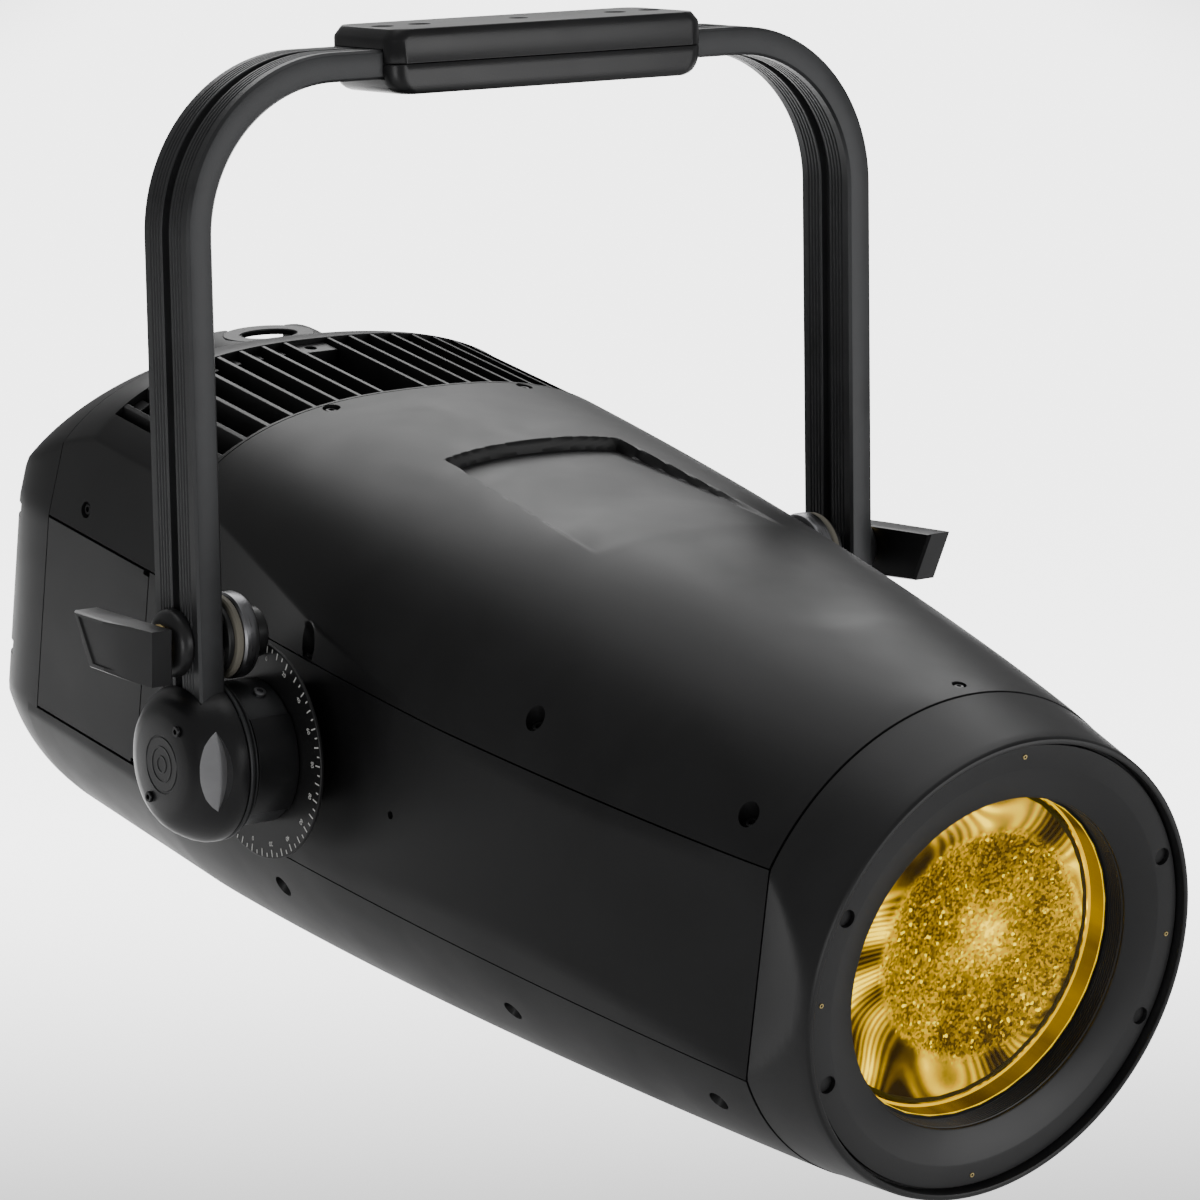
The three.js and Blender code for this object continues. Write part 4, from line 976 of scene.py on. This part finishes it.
def arm_path():
    """Points of the arm's middle line, each with the way to its outer face."""
    path = [((-ARM_MIDDLE_X, PIVOT.z / MM - ARM_FOOT), (-1, 0))]
    centre = (-(ARM_MIDDLE_X - BEND), -ARM_DROP - BEND)
    for i in range(BEND_STEPS + 1):
        angle = pi - i / BEND_STEPS * pi / 2
        out = (cos(angle), sin(angle))
        path.append(((centre[0] + BEND * out[0], centre[1] + BEND * out[1]), out))
    return path + [((-ARM_END, -ARM_DROP), (0, 1))]


section = arm_section()
arm_rings = [[(at[0] + out[0] * a, b, at[1] + out[1] * a) for a, b in section] for at, out in arm_path()]
for word in YOKE:
    piece(f"yoke_arm_{word}_extrusion", loft(arm_rings), ARM_COAT, "yoke", YOKE[word],
          replaces=[f"yoke_arm_{word}"], sharp=25)

# ---- hubs, dials and tilt locks

HUB_FACE, SPAN, ARM_INNER, DIAL_FACE = 283.7, 269.5, 251.1, 211.1
LOCK_AT = (0, 0, 76.0)
LEVER_INNER = HUB_FACE + 1.8
PAD_BACK = -DIAL_FACE - 13.4
DISC_BACK = PAD_BACK - 11.6
WASHER_BACK = DISC_BACK - 5.4
DIGIT_SIZE, MARKS, MARK_HALF = 4.2, 72, 0.42


def digit_mesh(text, size):
    curve = bpy.data.curves.new("digits", "FONT")
    curve.body = text
    curve.size = size
    curve.align_x = "CENTER"
    curve.align_y = "CENTER"
    curve.extrude = 0.08
    holder = new_object("digits", curve)
    mesh = bpy.data.meshes.new_from_object(holder.evaluated_get(bpy.context.evaluated_depsgraph_get()))
    shape = ([tuple(v.co) for v in mesh.vertices], [tuple(p.vertices) for p in mesh.polygons])
    bpy.data.objects.remove(holder)
    return shape


# The almond facet on a hub's front is a flat left by a round cutter.
FACET_RADIUS = 50.0
facet_along, facet_out = Vector((0.989, -0.148, 0)), Vector((-0.148, -0.989, 0))
facet_middle = Vector((-262, -42.4, 0)) - facet_along * FACET_RADIUS
facet_axes = Matrix((facet_along, Vector((0, 0, -1)), facet_out)).transposed()
facet_frame = Matrix.Translation(facet_middle * MM) @ facet_axes.to_4x4()
digits = {number: digit_mesh(str(number), DIGIT_SIZE) for number in range(0, 100, 10)}


def hub(word):
    """Domed cap with its facet, badge and screws, and the bearing between the arm and the dial."""
    place = HUB[word]
    cap_profile = inwards(-HUB_FACE, [(0, 0), (17.2, 0), (17.6, 0.5), (18.4, 0.5), (18.8, 0), (30, 0.3),
                                      (36, 1.4), (40, 3.6), (43.5, 6.9), (46.4, 11), (49, 15.7),
                                      (51.3, 20.5), (52.6, 25), (53, 29)])
    cap_profile += inwards(-ARM_INNER, [(53, -1.4), (52.2, -0.4), (0, -0.4)])
    cap = solid(f"hub_cap_{word}_dome", lathe("x", cap_profile, sides=128, closed=False), place)
    cut(cap, box((-SPAN - 0.4, -26.5, -23), (-ARM_INNER + 1, 26.5, 60)), place=place)
    cut(cap, rod("z", FACET_RADIUS, 0, 40, sides=120), place=place @ facet_frame)
    put(cap, CAST, "yoke", [f"hub_cap_{word}"], bevel=0.6, sharp=34)
    cap.data.materials.append(FACET)
    facet_way = (place @ facet_frame).to_3x3() @ Vector((0, 0, 1))
    facet_at = (place @ facet_frame) @ Vector((0, 0, 0))
    for face in cap.data.polygons:
        if face.normal.dot(facet_way) > 0.995 and abs((face.center - facet_at).dot(facet_way)) < 0.0003:
            face.material_index = 1

    emblem = [lathe("x", inwards(-HUB_FACE, [(r, -0.35), (r + 1.3, -0.35), (r + 1.3, 1), (r, 1)]), sides=64)
              for r in (4.5, 10.5)]
    piece(f"hub_badge_{word}", joined(*emblem), CAST, "yoke", place, bevel=0.25)
    cap_screws = []
    for y, z in ((-20, 24), (15, -23)):
        screw((-HUB_FACE - 0.6, y, z), (-1, 0, 0), 3.6, 1.2, cap_screws)
    piece(f"hub_screws_{word}", joined(*cap_screws), BLACK_STEEL, "yoke", place)

    bearing = inwards(-ARM_INNER, [(14.3, 0.4), (52.2, 0.4), (53, 1.2), (53, 2.6), (52.2, 3.4), (49.6, 3.8),
                                   (49.6, 5), (51, 6)])
    bearing += [(51, -244.6), (50, -243.8), (46.6, -243.1), (46.0, -242.4)]
    bearing += inwards(-DIAL_FACE, [(46, -1.3), (45.2, -0.5), (14.3, -0.5)])
    piece(f"hub_bearing_{word}_body", lathe("x", bearing, sides=128), ARM_COAT, "yoke", place,
          replaces=[f"hub_bearing_{word}"], slot="cast_black", bevel=0.3, sharp=34)
    pad_rings = [[(x, -radius * cos(angle), radius * sin(angle))
                  for radius, start, end in ((47.6, -44, 38), (45.0, 38, -44))
                  for angle in np.radians(np.linspace(start, end, 20))] for x in (-241.6, -212.2)]
    piece(f"hub_pad_{word}", loft(pad_rings), CAST, "yoke", place, bevel=0.5, sharp=40)
    stud, angle = [], radians(62)
    way = Vector((0, -cos(angle), sin(angle)))
    screw(Vector((-224, 0, 0)) + way * 45.8, way, 4.2, 2.6, stud)
    piece(f"hub_stud_{word}", joined(*stud), STEEL, "yoke", place)


def dial(word):
    """Graduated disc that tilts with the head, with a mark every 5 degrees and a number every 20."""
    place = HEAD @ HALF_TURN if word == "right" else HEAD
    profile = inwards(-DIAL_FACE, [(14.4, 0), (70.0, 0), (70.5, 0.5), (70.5, 2.0), (70.1, 2.4), (14.4, 2.4)])
    piece(f"tilt_dial_{word}_plate", lathe("x", profile, sides=160), DIAL_COAT, "head", place,
          replaces=[f"tilt_dial_{word}"], bevel=0.2)
    face_out = Matrix(((0, 0, -1, 0), (-1, 0, 0, 0), (0, 1, 0, 0), (0, 0, 0, 1)))
    marks = []
    for i in range(MARKS):
        turn = Matrix.Rotation(i * tau / MARKS, 4, "X")
        inner = 64.5 if i % 2 == 0 else 66.6
        mark = box((-DIAL_FACE - 0.15, -MARK_HALF, inner), (-DIAL_FACE + 0.2, MARK_HALF, 69.2))
        marks.append(moved(mark, turn))
        if i % 4 == 0:
            number = abs(((i * 5 + 90) % 180) - 90)
            spin = turn @ Matrix.Translation((-DIAL_FACE - 0.02, 0, 60.6))
            marks.append(moved(digits[number // 10 * 10], spin @ face_out))
    piece(f"tilt_dial_{word}_marks", joined(*marks), TICK, "head", place)


GRIP_SIDE = [(-20.5, 54.0), (50.5, 57.0), (67.5, 91.0), (-22.5, 89.0)]
GRIP_THICK = 19.5


def grip_ring(x, inset):
    """The grip's side outline at one distance, drawn in towards its middle."""
    middle_y, middle_z = (sum(values) / 4 for values in zip(*GRIP_SIDE))
    ring = []
    for y, z in GRIP_SIDE:
        dy, dz = y - middle_y, z - middle_z
        span = hypot(dy, dz)
        ring.append((x, y - dy / span * inset, z - dz / span * inset))
    return ring


def tilt_lock(word):
    """Lever grip, spindle with its bright ring, and the clamp pack against the dial."""
    place = HUB[word]
    far_x, near_x = -LEVER_INNER - GRIP_THICK, -LEVER_INNER
    steps = ((near_x, 2.2), (near_x - 1.6, 0), (far_x + 2.2, 0), (far_x, 3.0), (far_x, 7.5),
             (far_x + 1.0, 8.6))
    rings = [grip_ring(x, inset) for x, inset in steps]
    grip = solid(f"lock_lever_{word}_grip", loft(rings), place)
    taper = prism([(near_x - 60, -40), (near_x - 15.5, -24), (near_x - 19.4, 30), (near_x - 60, 30)], 40, 110)
    cut(grip, taper, place=place)
    put(grip, LEVER_COAT, f"lock_{word}", [f"lock_lever_{word}"], bevel=0.8, sharp=35)
    spindle = [(0, near_x + 0.4), (9.5, near_x + 0.4), (9.5, -280.4), (15.5, -280.2), (18.8, -279),
               (21, -276.4), (21.5, -274), *inwards(-SPAN, [(21.5, -1.5), (20.8, -0.5), (8, -0.5)]),
               (8, DISC_BACK - 0.9), (0, DISC_BACK - 0.9)]
    piece(f"lock_spindle_{word}_body", lathe("x", spindle, LOCK_AT, 72, closed=False), LEVER_COAT,
          f"lock_{word}", place, replaces=[f"lock_spindle_{word}"], bevel=0.3)
    bright = [(9.6, -283.2), (11.6, -283.2), (12.6, -282.4), (12.6, -281.2), (11.6, -280.3), (9.6, -280.3)]
    piece(f"lock_ring_{word}", lathe("x", bright, LOCK_AT, 72), BRASS, f"lock_{word}", place, bevel=0.15)

    pad = inwards(PAD_BACK, [(0, -1), (15, -1), (16, 1)])
    pad += inwards(-DIAL_FACE, [(16, -1.4), (15.2, -0.5), (0, -0.5)])
    pad_shape = lathe("x", pad, LOCK_AT, 72, closed=False)
    piece(f"clamp_pad_{word}", pad_shape, PLASTIC, f"clamp_{word}", place, bevel=0.2)
    carrier = inwards(WASHER_BACK, [(8.3, -4.4), (22.7, -4.4), (23.5, -3.6), (23.5, -0.5), (8.3, -0.5)])
    washer = inwards(WASHER_BACK, [(8.3, 0), (25.6, 0), (26.7, 1.2)])
    washer += inwards(DISC_BACK, [(26.7, -1.5), (25.8, -0.4), (8.3, -0.4)])
    disc = inwards(DISC_BACK, [(0, 0), (26.2, 0), (27.5, 1.4)])
    disc += inwards(PAD_BACK, [(27.5, -3), (26.6, -0.9), (25, 0), (0, 0)])
    pack = (("carrier", PLASTIC, carrier), ("washer", FIBRE, washer), ("disc", STEEL, disc))
    for part, material, profile in pack:
        shape = lathe("x", profile, LOCK_AT, 96, closed=part != "disc")
        piece(f"clamp_{part}_{word}_turned", shape, material, f"clamp_{word}", place,
              replaces=[f"clamp_{part}_{word}"], bevel=0.2)


for word in HUB:
    hub(word)
    dial(word)
    tilt_lock(word)

piece("casing_screws", joined(*screws), BLACK_STEEL)

# ---- carried-over CAD nodes

CAD_LOOKS = {
    DARK_METAL: ["chassis", "trunnion_left", "trunnion_right", "heat_sink", "pivot_nut_left",
                 "pivot_nut_right"],
    ALUMINIUM: ["zoom_carriage", "focus_carriage", "power_supply"],
    STEEL: ["guide_rod_left", "guide_rod_right", "color_wheel", "gobo_wheel"],
    CLEAR: ["zoom_lens", "focus_lens"],
    PLASTIC: ["lens_gasket", "lens_cell", "led_engine", "fan_rotor", "display_panel", "menu_button_down",
              "menu_button_enter", "menu_button_up", "power_inlet", "data_sockets"],
    BOARD: ["control_board"],
}
for material, names in CAD_LOOKS.items():
    for name in names:
        mesh = frame["nodes"][name].data
        mesh.materials.clear()
        mesh.materials.append(material)

# ---- floor and light

FLOOR_DROP, FLOOR_REACH = 0.42, 80.0
FLOOR_HEIGHT = cad_low.z - FLOOR_DROP
corners = [(x * FLOOR_REACH, y * FLOOR_REACH, FLOOR_HEIGHT) for x, y in ((-1, -1), (1, -1), (1, 1), (-1, 1))]
floor_mesh = bpy.data.meshes.new("floor")
floor_mesh.from_pydata(corners, [], [(0, 1, 2, 3)])
floor = new_object("floor", floor_mesh)
floor_material, nodes, links, base = shader("floor_white", Base_Color=(0.93, 0.93, 0.93, 1.0), Roughness=0.9,
                                            Emission_Color=(1.0, 1.0, 1.0, 1.0))
floor_place = add(nodes, "TexCoord").outputs["Object"]


def fade(way, start, end, both_ways=False):
    """0 at one distance from the middle of the floor and 1 at another, measured along way."""
    along = add(nodes, "VectorMath")
    along.operation = "DOT_PRODUCT"
    along.inputs[1].default_value = way
    links.new(floor_place, along.inputs[0])
    distance = along.outputs["Value"]
    if both_ways:
        size = add(nodes, "Math")
        size.operation = "ABSOLUTE"
        links.new(distance, size.inputs[0])
        distance = size.outputs["Value"]
    share = add(nodes, "MapRange", From_Min=start, From_Max=end)
    share.interpolation_type = "SMOOTHSTEP"
    links.new(distance, share.inputs["Value"])
    return share.outputs["Result"]


# The floor behind the object is lit up to a plain white sweep.
FLOOR_GLOW = 4.0
glow = add(nodes, "Math")
glow.operation = "MULTIPLY"
links.new(fade((0.59, 0.81, 0), 0.4, 2.6), glow.inputs[0])
links.new(fade((0.81, -0.59, 0), 4.5, 1.8, both_ways=True), glow.inputs[1])
bright = add(nodes, "Math")
bright.operation = "MULTIPLY"
bright.inputs[1].default_value = FLOOR_GLOW
links.new(glow.outputs["Value"], bright.inputs[0])
links.new(bright.outputs["Value"], base.inputs["Emission Strength"])
floor_mesh.materials.append(floor_material)

world = bpy.data.worlds.new("studio")
bpy.context.scene.world = world
world.use_nodes = True
world.node_tree.nodes["Background"].inputs["Color"].default_value = (1.0, 1.0, 1.0, 1.0)
world.node_tree.nodes["Background"].inputs["Strength"].default_value = 0.26


def softbox(name, offset, size, watts):
    """A soft light that looks at the middle of the object."""
    light = bpy.data.lights.new(name, "AREA")
    light.shape = "RECTANGLE"
    light.size, light.size_y = size
    light.energy = watts
    holder = new_object(name, light)
    look_down = (-Vector(offset)).to_track_quat("-Z", "Y").to_matrix().to_4x4()
    holder.matrix_world = Matrix.Translation(middle + Vector(offset)) @ look_down


middle = (cad_low + cad_high) / 2
softbox("top_light", (0.2, 0.3, 2.3), (2.0, 2.0), 14)
softbox("back_light", (1.5, 2.4, 2.2), (2.6, 1.8), 46)
softbox("front_light", (1.3, -2.6, -0.05), (2.0, 1.5), 26)
softbox("side_light", (-2.3, -1.7, -0.3), (1.0, 1.4), 14)

bpy.context.view_layer.update()
